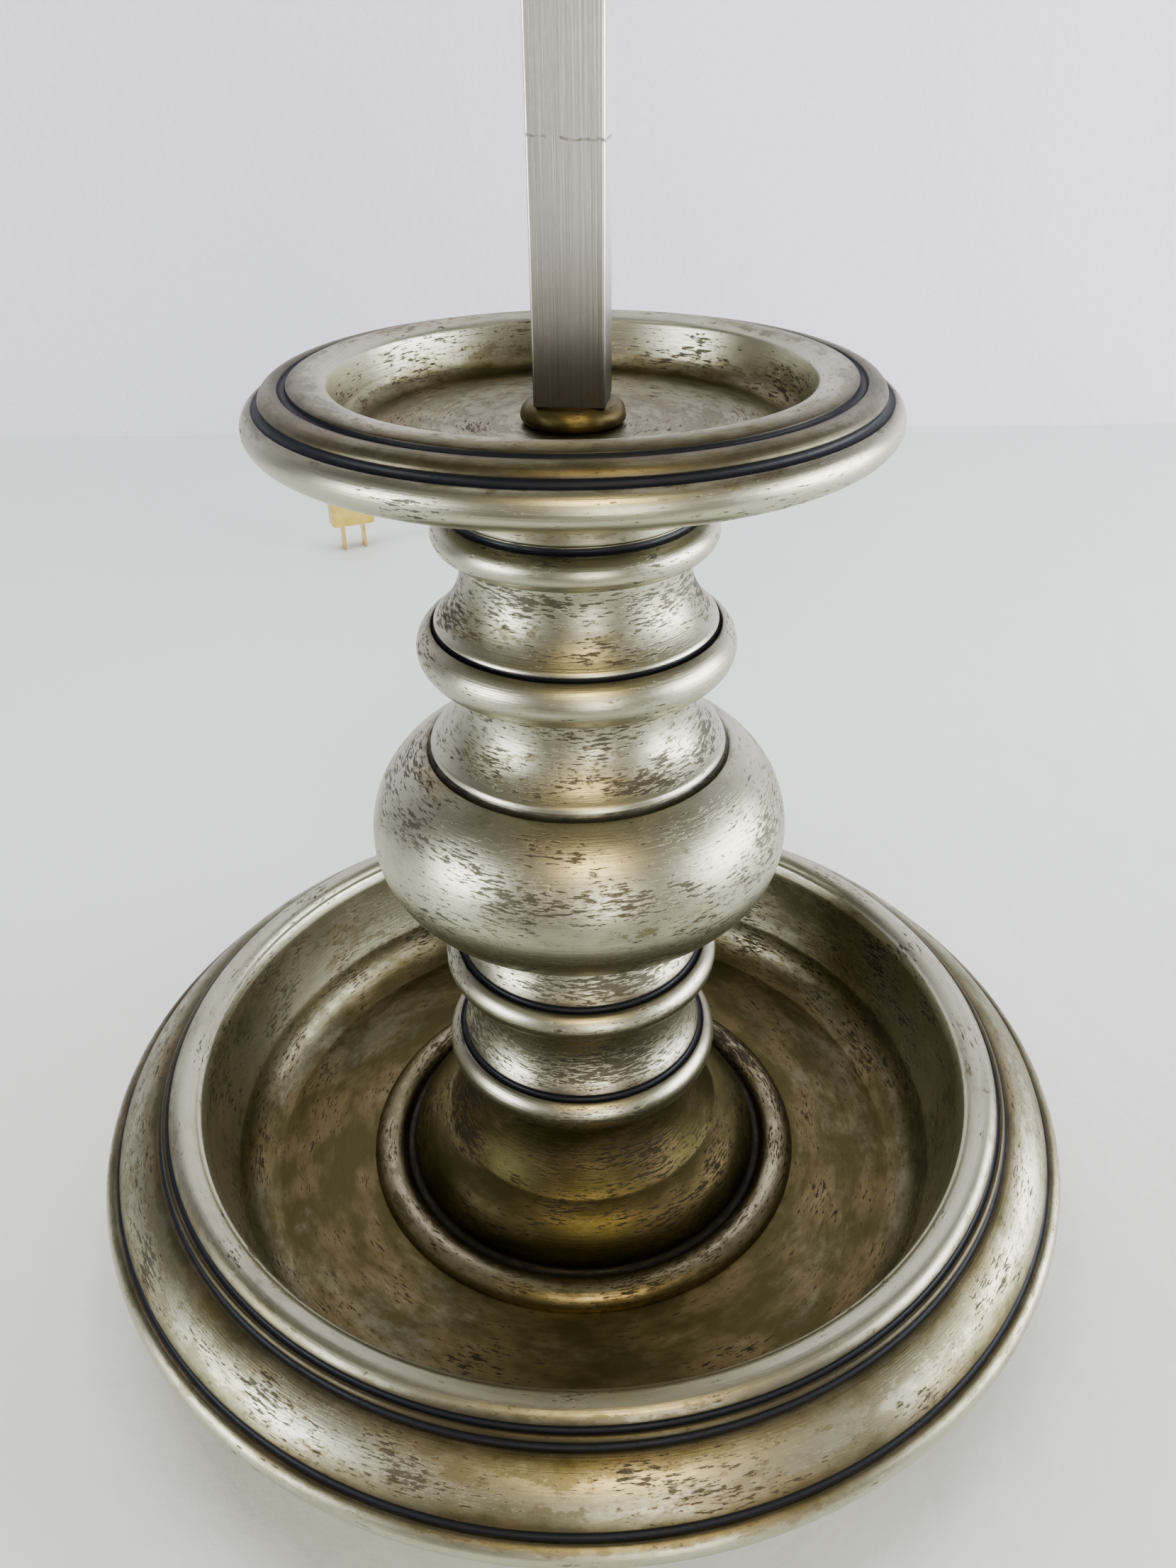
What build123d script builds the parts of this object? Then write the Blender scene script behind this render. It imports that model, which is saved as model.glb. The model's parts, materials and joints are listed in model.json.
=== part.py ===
"""Two-light hurricane candle lamp on a turned candlestick stand, in millimetres, +Z up.

The origin is on the lamp's axis, in the plane that it stands on. The post's front face looks along -Y and the
two arms reach along +X and -X. A spun dish carries a stack of hollow turned pieces, held together by a threaded
pipe from a nut under the dish to the post above the drip pan. A carriage slides on the square post and carries
two candle lights, each under a glass chimney that lifts off. The mains lead leaves under the dish at the back.
"""
import math
import os

from build123d import *

# ---- running clearances and walls -------------------------------------------------------------------------
RUN_FIT = 0.08          # radial, a shaft that turns in its hole
SLIDE_GAP = 0.3         # between the carriage and the post, each side
LIFT_GAP = 0.4          # between the glass chimney and what holds it
PIPE_GAP = 0.3          # between the threaded pipe and what it passes through
SEAT_GAP = 0.05         # radial, pieces that are pressed or soldered together
WEB = 3.0               # top wall of a hollow turned piece

# ---- foot and dish ----------------------------------------------------------------------------------------
felt_thickness = 1.5
weight_radius = 76.0
weight_height = 8.7
dish_sheet = 2.0        # wall of the spun dish
bowl_floor_radius = 83.5
bowl_depth = 34.9       # from the fine line inside the rim to the bowl's floor
rim_radius = 97.9       # that fine line
flange_reach = 25.3     # from the fine line out to the hem's crown
hem_drop = 12.1         # from the fine line down to the groove above the hem
cord_slot_width = 9.0
nut_room = 25.0         # radius of the space for the nut inside the weight
nut_radius = 9.0
nut_height = 4.0
washer_thickness = 1.5
pipe_foot = 2.6

# ---- turned stem, each height from the piece's foot to its top ---------------------------------------------
bell_height = 34.0
bell_ring_radius = 53.4
lower_bead_height = 29.1
upper_bead_height = 24.7
knop_height = 39.2
knop_radius = 47.6
neck_height = 29.4
shoulder_height = 16.7
collar_height = 7.7
pipe_radius = 4.8
pipe_bore_radius = 3.3

# ---- drip pan ---------------------------------------------------------------------------------------------
pan_radius = 62.4
pan_hub_height = 16.0   # from the collar to the pan's floor
pan_depth = 10.0
pan_sheet = 2.4
ring_height = 4.4
ring_radius = 10.1

# ---- post and finial --------------------------------------------------------------------------------------
post_width = 13.6
post_wall = 1.9
post_height = 358.0
post_corner = 0.5
pipe_in_post = 22.0
cap_thickness = 3.5
finial_height = 34.0
finial_radius = 10.5

# ---- carriage and arms ------------------------------------------------------------------------------------
carriage_rest = 126.0   # carriage centre above the drip pan's floor
carriage_height = 34.0
carriage_width = 25.0
screw_radius = 2.5
screw_head_radius = 8.0
arm_reach = 92.0        # lamp axis to a candle's axis
arm_radius = 4.5
arm_dip = 31.0          # how far an arm swings down below its root
arm_rise = 14.0         # and up again to the light's foot

# ---- one candle light -------------------------------------------------------------------------------------
housing_height = 22.0
housing_radius = 12.5
key_radius = 1.5
key_reach = 26.0
saucer_radius = 36.0
saucer_hub_height = 12.0
gallery_radius = 27.8
gallery_height = 11.0
gallery_wall = 1.5
candle_radius = 12.0
candle_wall = 1.5
candle_height = 80.0
socket_height = 28.0
bulb_cap_radius = 6.3
bulb_radius = 17.0
bulb_height = 72.0
glass_wall = 2.0
chimney_foot_radius = 25.0
chimney_belly_radius = 42.0
chimney_throat_radius = 28.2
chimney_mouth_radius = 31.0
chimney_height = 200.0

# ---- mains lead -------------------------------------------------------------------------------------------
cord_diameter = 5.3
cord_exit = (0.0, 80.0, 5.85)
coil_radius = 29.0      # middle of the put-away turns
coil_centre = (-22.0, 178.0)
coil_turns_wide = 3
coil_turns_high = 2
plug_axis = (-193.0, 461.0)
plug_turn = 30.0        # degrees about Z
plug_boss_length = 12.0
plug_boss_radius = 4.2
plug_width = 26.0
plug_depth = 13.0
plug_body_height = 25.0
prong_length = 16.0     # the plug stands on its prongs
prong_spacing = 12.7
prong_width = 6.35
prong_thickness = 1.5

# ---- heights that follow ----------------------------------------------------------------------------------
weight_top = felt_thickness + weight_height
dish_floor = weight_top + dish_sheet
rim_line = dish_floor + bowl_depth
bell_top = dish_floor + bell_height
lower_bead_top = bell_top + lower_bead_height
upper_bead_top = lower_bead_top + upper_bead_height
knop_top = upper_bead_top + knop_height
neck_top = knop_top + neck_height
shoulder_top = neck_top + shoulder_height
collar_top = shoulder_top + collar_height
pan_floor = collar_top + pan_hub_height
post_foot = pan_floor + ring_height
post_top = post_foot + post_height
carriage_z = pan_floor + carriage_rest
arm_end_z = carriage_z - arm_dip + arm_rise
housing_top = arm_end_z + housing_height
saucer_floor = housing_top + saucer_hub_height
key_z = housing_top - 10.0
key_depth = housing_radius - 7.5
gallery_screw_z = saucer_floor + 8.2
screw_angles = (90.0, 210.0, 330.0)
candle_foot = saucer_floor + 2.0
candle_top = candle_foot + candle_height
socket_foot = candle_top - socket_height - 2.0
bulb_cap_foot = socket_foot + 7.0
flange_edge = rim_radius + flange_reach
pipe_hole = pipe_radius + PIPE_GAP

# Route of the lead from the bushing to the coil, and from the coil to the plug.
lead_points = [cord_exit, (0.0, 97.0, 5.85), (2.5, 123.0, 2.8), (9.6, 150.0, 2.65), (12.3, 177.0, 2.65)]
tail_points = [(12.3, 178.0, 7.95), (10.4, 216.8, 6.8), (-0.4, 256.8, 2.9), (-23.0, 311.5, 2.65),
               (-34.1, 370.6, 2.65), (-29.1, 429.6, 2.65), (-43.4, 482.3, 2.65), (-82.9, 509.8, 2.65),
               (-122.6, 504.1, 13.0), (-153.3, 483.9, 33.0), (-171.35, 473.5, 33.0)]


# ---- helpers ----------------------------------------------------------------------------------------------
def save(shape, node):
    """Write one node's STEP file."""
    export_step(shape, f"parts/{node}.step")


def outline(start, *steps):
    """Closed outline in (radius, height), run clockwise, so that the metal is on the right.

    A step is the end of a straight run, or, with a third number, the end of an arc whose middle stands that
    far out of the metal. A negative number hollows the arc into the metal.
    """
    edges, here = [], start
    for step in [*steps, start]:
        there = step[:2]
        run = math.dist(here, there)
        ends = Vector(here[0], 0, here[1]), Vector(there[0], 0, there[1])
        if len(step) == 3:
            out = Vector(here[1] - there[1], 0, there[0] - here[0]) / run
            edges.append(ThreePointArc(ends[0], (ends[0] + ends[1]) / 2 + out * step[2], ends[1]))
        elif run > 0:
            edges.append(Line(*ends))
        here = there
    return make_face(edges)


def turned(start, *steps):
    """Solid of revolution about Z with the outline above."""
    return revolve(outline(start, *steps), Axis.Z)


def tube(outer, inner, foot, top):
    """Round tube standing on Z."""
    return turned((inner, top), (outer, top), (outer, foot), (inner, foot))


def rod(radius, foot, top):
    """Round bar standing on Z."""
    return turned((0, top), (radius, top), (radius, foot), (0, foot))


def square_bar(width, corner, foot, top):
    """Square bar standing on Z, with rounded corners."""
    return Pos(0, 0, foot) * extrude(RectangleRounded(width, width, corner), top - foot)


def ogee(here, there, first):
    """Two equal arcs from one place to another, both upright at their ends. first is +1 if the first one
    stands out of the metal, and -1 if it is hollow."""
    middle = ((here[0] + there[0]) / 2, (here[1] + there[1]) / 2)
    lean = math.atan(abs(there[0] - here[0]) / abs(there[1] - here[1]))
    bulge = math.dist(here, middle) / 2 * math.tan(lean / 2)
    return (*middle, first * bulge), (*there, -first * bulge)


def stem_piece(foot, top, top_radius, profile, cavity_foot, cavity_top, cavity_bulge=0.0):
    """Turned stem piece: a cup that is open at its foot, with a web at its top for the pipe."""
    ceiling = (cavity_top, top - WEB, cavity_bulge) if cavity_bulge else (cavity_top, top - WEB)
    return turned((pipe_hole, top), (top_radius, top), *profile, (cavity_foot, foot), ceiling,
                  (pipe_hole, top - WEB))


def on_light(shape, side):
    """Carry a piece drawn on the lamp's axis out to the light on one side."""
    return Pos(side * arm_reach, 0, 0) * shape


def out_front(shape, height):
    """Lay a piece drawn standing on Z along -Y, at a height."""
    return Pos(0, 0, height) * Rot(90, 0, 0) * shape


# ---- foot and dish ----------------------------------------------------------------------------------------
def felt_pad():
    return rod(weight_radius, 0, felt_thickness)


def base_weight():
    ring = tube(weight_radius, nut_room, felt_thickness, weight_top)
    slot = Pos(0, weight_radius / 2, (felt_thickness + weight_top) / 2) * Box(
        cord_slot_width, weight_radius + 2, weight_height + 1)
    rear_half = Pos(0, weight_radius / 2 + nut_room / 2, 0) * slot
    return ring - rear_half


def cord_bushing():
    """Round bushing in the weight's slot. The lead leaves its outer face."""
    radius = cord_slot_width / 2 - PIPE_GAP
    length = cord_exit[1] - weight_radius
    bush = Cylinder(radius, length + 10, align=(Align.CENTER, Align.CENTER, Align.MAX))
    return Pos(*cord_exit) * Rot(-90, 0, 0) * bush


def base_dish():
    r, z = rim_radius, rim_line
    floor_edge, wall = bowl_floor_radius, dish_sheet
    hem = z - hem_drop
    return turned(
        (pipe_hole, dish_floor), (floor_edge, dish_floor),
        (floor_edge + 8.5, dish_floor + 11.8, -2.4), (r - 1.0, z - 2.6, -0.8),       # bowl's wall
        (r, z), (r + 0.7, z + 0.4), (r + 7.7, z + 0.2, 2.2),                         # rim
        (r + 8.7, z - 0.7, -0.7), (r + 9.8, z - 1.9, 0.35), (r + 10.9, z - 3.1, -0.7),
        (flange_edge - 3.9, hem + 0.8, 1.2), (flange_edge - 2.7, hem - 0.4, -0.8),   # flange
        (flange_edge - 3.4, hem - 7.0, 3.0), (flange_edge - 5.8, hem - 5.1),         # hem
        (flange_edge - 5.6, hem - 1.2), (r + 9.3, z - 4.9, -1.2),                    # and its underside
        (r + 6.6, z - 1.9), (r + 1.4 + wall, z - 1.6), (r - 0.6 + wall, z - 3.6),
        (floor_edge + 8.3 + wall, dish_floor + 11.0, 0.8), (floor_edge + 0.6, weight_top, 2.6),
        (pipe_hole, weight_top))


def base_washer():
    return tube(nut_room * 0.55, pipe_hole, weight_top - washer_thickness, weight_top)


def base_nut():
    """Hexagonal nut on the pipe, under the washer."""
    top = weight_top - washer_thickness
    blank = Pos(0, 0, top - nut_height) * extrude(RegularPolygon(nut_radius, 6), nut_height)
    return blank - rod(pipe_radius + SEAT_GAP, top - nut_height - 1, top + 1)


def stem_pipe():
    return tube(pipe_radius, pipe_bore_radius, pipe_foot, post_foot + pipe_in_post)


# ---- turned stem ------------------------------------------------------------------------------------------
def bell_foot():
    foot, top, ring = dish_floor, bell_top, bell_ring_radius
    profile = [(ring - 17.4, foot + 13.8, -2.5), (ring - 6.8, foot + 2.0, 2.6), (ring - 4.4, foot + 1.2, -1.1),
               (ring + 4.4, foot, 3.4)]
    return stem_piece(foot, top, 28.2, profile, ring - 13.4, 22.0)


def lower_bead():
    foot, top = bell_top, lower_bead_top
    profile = [(29.9, foot + 11.0, -2.8), (30.3, foot + 10.4), (31.6, foot + 9.5, -0.9),
               (30.2, foot + 0.4, 3.4), (29.0, foot)]
    return stem_piece(foot, top, 28.6, profile, 22.0, 21.0)


def upper_bead():
    foot, top = lower_bead_top, upper_bead_top
    profile = [(28.9, foot + 9.6, -2.4), (29.3, foot + 8.9), (30.6, foot + 8.0, -0.9), (29.6, foot, 3.4)]
    return stem_piece(foot, top, 27.5, profile, 21.0, 20.0)


def knop():
    foot, top, crown = upper_bead_top, knop_top, knop_radius
    profile = [(crown - 13.6, top - 1.0, -0.9), (crown, foot + 16.6, 3.9), (crown - 17.6, foot, 4.9)]
    return stem_piece(foot, top, crown - 15.8, profile, 20.0, 20.0, -18.0)


def neck_bead():
    foot, top = knop_top, neck_top
    profile = [(30.9, top - 0.5, -0.9), (27.5, top - 10.8, 4.9), (25.4, top - 12.0), (32.6, foot + 1.2, -2.6),
               (33.0, foot)]
    return stem_piece(foot, top, 29.0, profile, 22.0, 20.0)


def shoulder():
    foot, top = neck_top, shoulder_top
    profile = [(29.9, foot + 0.8, -2.4), (30.2, foot)]
    return stem_piece(foot, top, 24.2, profile, 20.0, 18.5)


def pan_collar():
    foot, top = shoulder_top, collar_top
    profile = [(26.4, top - 1.3, -0.7), (24.6, foot, 4.0)]
    return stem_piece(foot, top, 25.2, profile, 18.5, 18.5)


# ---- drip pan ---------------------------------------------------------------------------------------------
def drip_pan():
    r, z, lip = pan_radius, pan_floor, pan_floor + pan_depth
    under, hub = pan_floor - pan_sheet, collar_top
    return turned(
        (pipe_hole, z), (r - 21.4, z), (r - 17.6, z + 3.6, -1.0), (r - 16.3, lip - 0.6),   # floor and wall
        (r - 8.9, lip, 1.2), (r - 7.5, lip - 0.4, -0.9), (r - 3.6, lip - 2.2, 0.9),        # two rings
        (r - 2.2, lip - 3.4, -0.9), (r - 4.6, z - 0.4, 3.5), (r - 9.4, z + 1.8, -0.6),     # outer bead
        (r - 13.8, z + 0.8), (r - 17.9, under, 0.8), (34.0, under), (25.2, hub + 1.5, -3.0), (25.2, hub),
        (18.5, hub), (18.5, under - 0.8), (pipe_hole, under - 0.8))


def post_ring():
    """Round-edged lock nut that clamps the stack. The post stands on it."""
    foot, top, r = pan_floor, pan_floor + ring_height, ring_radius
    flat = 1.2
    return turned((pipe_radius + SEAT_GAP, top), (r - 2.6, top), (r, foot + ring_height / 2, 0.6),
                  (r - flat, foot, 0.6), (pipe_radius + SEAT_GAP, foot))


# ---- post and finial --------------------------------------------------------------------------------------
def post():
    outer = square_bar(post_width, post_corner, post_foot, post_top)
    return outer - square_bar(post_width - 2 * post_wall, 0.2, post_foot - 1, post_top + 1)


def post_cap():
    """Square cap with a spigot that fits inside the post."""
    cap = square_bar(post_width + 3.0, 1.2, post_top, post_top + cap_thickness)
    spigot = square_bar(post_width - 2 * (post_wall + SEAT_GAP), 0.4, post_top - 10, post_top)
    return chamfer(cap.edges().group_by(Axis.Z)[-1], 0.8) + spigot


def finial():
    foot, r = post_top + cap_thickness, finial_radius
    top = foot + finial_height
    return turned((0, top), (1.6, top - 0.6, 0.4), (2.4, top - 5.0, -0.4), (r - 3.0, top - 13.0, -1.2),
                  (r, top - 18.0, 0.9), (4.2, foot + 7.5, 2.2), (4.2, foot + 5.5), (6.6, foot + 3.6, 0.9),
                  (6.0, foot), (0, foot))


# ---- carriage and arms ------------------------------------------------------------------------------------
def carriage_sleeve():
    low, high = carriage_z - carriage_height / 2, carriage_z + carriage_height / 2
    block = square_bar(carriage_width, 2.5, low, high)
    block = chamfer(block.edges().group_by(Axis.Z)[-1] + block.edges().group_by(Axis.Z)[0], 1.2)
    channel = square_bar(post_width + 2 * SLIDE_GAP, 0.5, low - 1, high + 1)
    screw_hole = out_front(rod(screw_radius + RUN_FIT, 0, carriage_width), carriage_z)
    return block - channel - screw_hole


def clamp_screw():
    """Thumbscrew in the carriage's front wall. Its tip stops just short of the post."""
    tip = post_width / 2 + SLIDE_GAP
    neck = carriage_width / 2 + 4.0
    end, r = neck + 9.0, screw_head_radius
    screw = turned((0, end), (r - 2.2, end, 0.8), (r, end - 2.0, 0.5), (r, neck + 2.0), (r - 2.5, neck, 0.6),
                   (screw_radius, neck), (screw_radius, tip + 0.5), (screw_radius - 0.5, tip), (0, tip))
    flutes = 12
    bite = rod(0.9, neck - 1, end + 2)
    for i in range(flutes):
        angle = 2 * math.pi * i / flutes
        screw -= Pos((r + 0.3) * math.cos(angle), (r + 0.3) * math.sin(angle), 0) * bite
    return out_front(screw, carriage_z)


def arm(side):
    """Round arm that leaves the carriage, swings down and rises to its light."""
    root, dip, end = carriage_width / 2, carriage_z - arm_dip, arm_end_z
    half_way = root + (arm_reach - root) * 0.5
    points = [(root, carriage_z), (root + 20, carriage_z), (half_way, dip), (arm_reach, dip), (arm_reach, end)]
    path = FilletPolyline(*[(side * x, 0, z) for x, z in points], radius=arm_dip * 0.4)
    section = Plane(origin=path @ 0, z_dir=path % 0) * Circle(arm_radius)
    flange = Pos(side * root, 0, carriage_z) * Rot(0, side * 90, 0) * rod(arm_radius + 2.5, 0, 2.0)
    return sweep(section, path) + flange


# ---- one candle light, drawn on the lamp's axis ------------------------------------------------------------
def switch_housing():
    foot, top, r = arm_end_z, housing_top, housing_radius
    body = turned((0, top), (8.6, top), (9.4, top - 1.6, 0.5), (r - 3.0, top - 3.4, -0.5), (r, top - 7.0, 0.9),
                  (r, top - 13.0), (r - 5.0, foot + 2.0, 1.5), (r - 6.0, foot), (0, foot))
    return body - out_front(rod(key_radius + RUN_FIT, key_depth - 1, housing_radius + 2), key_z)


def switch_key():
    """Turn key: a shaft with a flat oval grip."""
    shaft = rod(key_radius, key_depth, key_reach - 4)
    grip = Pos(0, 0, key_reach - 5) * Rot(90, 0, 0) * extrude(Ellipse(6.5, 5.0), 1.3, both=True)
    return out_front(shaft + grip, key_z)


def saucer():
    r, z, foot = saucer_radius, saucer_floor, housing_top
    return turned(
        (pipe_bore_radius, z), (r - 6.6, z), (r - 5.0, z + 2.0, -0.5), (r - 4.4, z + 5.0), (r - 2.0, z + 5.2, 0.8),
        (r - 1.2, z + 4.6, -0.5), (r - 2.0, z - 0.6, 1.6), (r - 4.5, z + 0.2), (r - 6.5, z - 1.8), (14.0, z - 2.0),
        (8.6, foot + 1.5, -1.6), (8.6, foot), (pipe_bore_radius, foot))


def gallery():
    """Ring that the glass stands in, with three screw holes in its wall."""
    foot, top, r = saucer_floor, saucer_floor + gallery_height, gallery_radius
    ring = turned((r - gallery_wall, top), (r, top, 0.3), (r, foot), (r - 8.0, foot), (r - 8.0, foot + gallery_wall),
                  (r - gallery_wall, foot + gallery_wall))
    for angle in screw_angles:
        ring -= Rot(0, 0, angle) * Pos(0, 0, gallery_screw_z) * Rot(0, 90, 0) * rod(1.6, r - 4, r + 2)
    return ring


def gallery_screws():
    """Three small screws that steady the glass."""
    r = gallery_radius
    screw = turned((0, r + 3.4), (2.0, r + 3.4, 0.4), (2.5, r + 2.8), (2.5, r + 1.6), (1.5, r + 1.6),
                   (1.5, chimney_foot_radius + LIFT_GAP), (0, chimney_foot_radius + LIFT_GAP))
    return [Rot(0, 0, angle) * Pos(0, 0, gallery_screw_z) * Rot(0, 90, 0) * screw for angle in screw_angles]


def candle_cup():
    foot, r = saucer_floor, candle_radius
    return turned((r + SEAT_GAP, foot + 9.0), (r + 1.0, foot + 9.0, 0.3), (r + 2.6, foot + 7.6, 0.3),
                  (r + 1.6, foot + 5.0, -0.5), (r + 3.0, foot + 2.0, -0.4), (r + 3.0, foot),
                  (pipe_radius + SEAT_GAP, foot), (pipe_radius + SEAT_GAP, candle_foot),
                  (r + SEAT_GAP, candle_foot))


def candle_sleeve():
    r, foot, top = candle_radius, candle_foot, candle_top
    return turned((r - candle_wall, top), (r - 0.4, top, 0.3), (r, top - 0.8), (r, foot), (r - candle_wall, foot))


def socket_stem():
    return tube(pipe_radius, pipe_bore_radius, saucer_floor, socket_foot)


def lamp_socket():
    r, foot, top = candle_radius - candle_wall - PIPE_GAP, socket_foot, candle_top - 1.0
    return turned((bulb_cap_radius + PIPE_GAP, top), (r, top), (r, foot), (0, foot), (0, bulb_cap_foot),
                  (bulb_cap_radius + PIPE_GAP, bulb_cap_foot))


def bulb_cap():
    """Screw cap of the bulb, down to its centre contact."""
    r, foot, top = bulb_cap_radius, bulb_cap_foot, candle_top + 1.0
    return turned((0, top), (r, top), (r, foot + 4.0), (2.5, foot, 0.4), (0, foot))


def bulb_glass():
    """Flame-shaped envelope, closed above the cap."""
    r, foot, skin = bulb_radius, candle_top + 1.0, 0.8
    tip, belly = foot + bulb_height, foot + bulb_height * 0.33
    return turned((0, tip), (1.2, tip - 1.5, 0.4), (r * 0.42, belly + 26.0, -0.6), (r, belly, 3.4),
                  (bulb_cap_radius, foot + 1.0, 1.2), (bulb_cap_radius, foot), (0, foot), (0, foot + skin),
                  (bulb_cap_radius - skin, foot + skin + 0.6), (r - skin, belly, -1.2),
                  (r * 0.42 - skin, belly + 25.4, -3.4), (0, tip - 6.0))


def chimney():
    """Blown glass: a straight foot, a belly, a throat and a flared mouth, open at both ends."""
    foot = saucer_floor + gallery_wall + LIFT_GAP
    heel, belly, throat, top = foot + 14.0, foot + 62.0, foot + 165.0, foot + chimney_height
    outer = [(chimney_throat_radius, throat), (chimney_belly_radius, belly), (chimney_foot_radius, heel)]
    inner = [(r - glass_wall, z) for r, z in reversed(outer)]
    mouth = chimney_mouth_radius
    return turned((mouth - glass_wall, top), (mouth, top, 0.7), (*outer[0], -0.6),
                  *ogee(outer[0], outer[1], -1), *ogee(outer[1], outer[2], 1),
                  (chimney_foot_radius, foot), (chimney_foot_radius - glass_wall, foot), inner[0],
                  *ogee(inner[0], inner[1], 1), *ogee(inner[1], inner[2], -1), (mouth - glass_wall, top, 0.6))


# ---- mains lead -------------------------------------------------------------------------------------------
def cord_tube(points, name):
    """Round cord along straight runs joined by arcs as large as the runs allow."""
    points = [Vector(*p) for p in points]
    runs = [(b - a).length for a, b in zip(points, points[1:])]
    turns = [math.radians((b - a).get_angle(c - b)) for a, b, c in zip(points, points[1:], points[2:])]
    radii = [0.45 * min(runs[i], runs[i + 1]) / math.tan(turn / 2) for i, turn in enumerate(turns)]
    path = FilletPolyline(*points, radius=radii)
    solid = sweep(Plane(origin=path @ 0, z_dir=path % 0) * Circle(cord_diameter / 2), path)
    section = math.pi * cord_diameter ** 2 / 4
    print(name, "length", round(path.length, 1), "volume ratio", round(solid.volume / (section * path.length), 4))
    print("  runs", [round(run, 1) for run in runs], "turns", [round(math.degrees(t)) for t in turns])
    print("  radii", [round(radius, 1) for radius in radii])
    return solid


def cord_coil():
    """Outer shape of the put-away turns."""
    half = coil_turns_wide * cord_diameter / 2
    return Pos(*coil_centre, 0) * tube(coil_radius + half, coil_radius - half, 0, coil_turns_high * cord_diameter)


def at_plug(shape):
    """Carry a piece drawn on the lamp's axis to where the plug stands, and turn it."""
    return Pos(*plug_axis, 0) * Rot(0, 0, plug_turn) * shape


def plug_body():
    """Flat-sided plug whose lead leaves sideways, through a short tapered relief."""
    block = Pos(0, 0, prong_length + plug_body_height / 2) * Box(plug_width, plug_depth, plug_body_height)
    block = fillet(block.edges().filter_by(Axis.Z), 3.0)
    block = chamfer(block.faces().sort_by(Axis.Z)[-1].edges(), 2.0)
    boss_z = tail_points[-1][2]
    boss = Cone(plug_boss_radius, cord_diameter / 2 + 0.4, plug_boss_length,
                align=(Align.CENTER, Align.CENTER, Align.MIN))
    return at_plug(block + Pos(plug_width / 2, 0, boss_z) * Rot(0, 90, 0) * boss)


def plug_prongs():
    """Two flat blades with chamfered tips."""
    blade = Box(prong_thickness, prong_width, prong_length, align=(Align.CENTER, Align.CENTER, Align.MIN))
    blade = chamfer(blade.faces().sort_by(Axis.Z)[0].edges().filter_by(Axis.Y), prong_thickness * 0.3)
    return [at_plug(Pos(side * prong_spacing / 2, 0, 0) * blade) for side in (-1, 1)]


# ---- write every node -------------------------------------------------------------------------------------
os.makedirs("parts", exist_ok=True)
single = [felt_pad, base_weight, cord_bushing, base_dish, base_washer, base_nut, stem_pipe, bell_foot, lower_bead,
          upper_bead, knop, neck_bead, shoulder, pan_collar, drip_pan, post_ring, post, post_cap, finial,
          carriage_sleeve, clamp_screw, cord_coil, plug_body]
for make in single:
    save(make(), make.__name__)
save(Compound(plug_prongs()), "plug_prongs")
save(cord_tube(lead_points, "cord_lead"), "cord_lead")
save(cord_tube(tail_points, "cord_tail"), "cord_tail")

light = [switch_housing, switch_key, saucer, gallery, candle_cup, candle_sleeve, socket_stem, lamp_socket,
         bulb_cap, bulb_glass, chimney]
for side, word in ((-1, "left"), (1, "right")):
    save(arm(side), f"arm_{word}")
    for make in light:
        save(on_light(make(), side), f"{make.__name__}_{word}")
    save(Compound([on_light(screw, side) for screw in gallery_screws()]), f"gallery_screws_{word}")
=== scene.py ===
"""Visual model of a two-light hurricane candle lamp on a turned pewter stand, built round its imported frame.

Every piece is worked out in metres, in the frame's own place. Outlines are written in millimetres.
"""
import json
import math

import bpy
import numpy as np
from bpy.props import FloatProperty, FloatVectorProperty, IntProperty, PointerProperty
from mathutils import Matrix, Vector

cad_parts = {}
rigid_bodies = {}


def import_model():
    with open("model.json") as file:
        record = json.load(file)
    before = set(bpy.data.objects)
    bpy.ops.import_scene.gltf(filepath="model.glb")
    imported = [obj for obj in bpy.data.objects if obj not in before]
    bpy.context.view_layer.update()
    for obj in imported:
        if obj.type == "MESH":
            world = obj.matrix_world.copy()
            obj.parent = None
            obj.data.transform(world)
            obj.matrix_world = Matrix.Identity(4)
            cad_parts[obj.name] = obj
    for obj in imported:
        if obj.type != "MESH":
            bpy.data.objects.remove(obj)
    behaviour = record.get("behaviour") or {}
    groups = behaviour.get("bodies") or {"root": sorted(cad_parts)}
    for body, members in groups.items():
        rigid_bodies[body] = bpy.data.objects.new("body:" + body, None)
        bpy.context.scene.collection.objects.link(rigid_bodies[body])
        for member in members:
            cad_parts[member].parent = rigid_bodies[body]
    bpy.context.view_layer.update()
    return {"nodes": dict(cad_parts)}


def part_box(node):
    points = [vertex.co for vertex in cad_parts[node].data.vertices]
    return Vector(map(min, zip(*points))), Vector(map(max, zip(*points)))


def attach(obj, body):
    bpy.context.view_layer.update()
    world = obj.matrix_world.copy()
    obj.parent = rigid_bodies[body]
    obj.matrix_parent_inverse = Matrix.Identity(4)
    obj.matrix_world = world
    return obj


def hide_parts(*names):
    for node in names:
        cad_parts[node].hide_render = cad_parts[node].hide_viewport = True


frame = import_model()

bl_info = {
    "name": "Hurricane candle lamp",
    "version": (1, 0, 0),
    "blender": (4, 5, 0),
    "location": "View3D > Sidebar > Lamp",
    "description": "Turned pewter candle lamp with two glass chimneys, built round its CAD frame",
    "category": "Add Mesh",
}

MM = 0.001
SIDES = (("left", -1), ("right", 1))


def level(node, top=False):
    """A node's foot, or its top, in millimetres."""
    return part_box(node)[1 if top else 0][2] / MM


def arc_length(path):
    """Distance along a path to each of its points."""
    return np.concatenate([[0], np.cumsum(np.linalg.norm(np.diff(path, axis=0), axis=1))])


def sample(at, s, rows):
    """Rows read at the distances in at, where s is each row's own distance."""
    return np.column_stack([np.interp(at, s, column) for column in rows.T])


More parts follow.
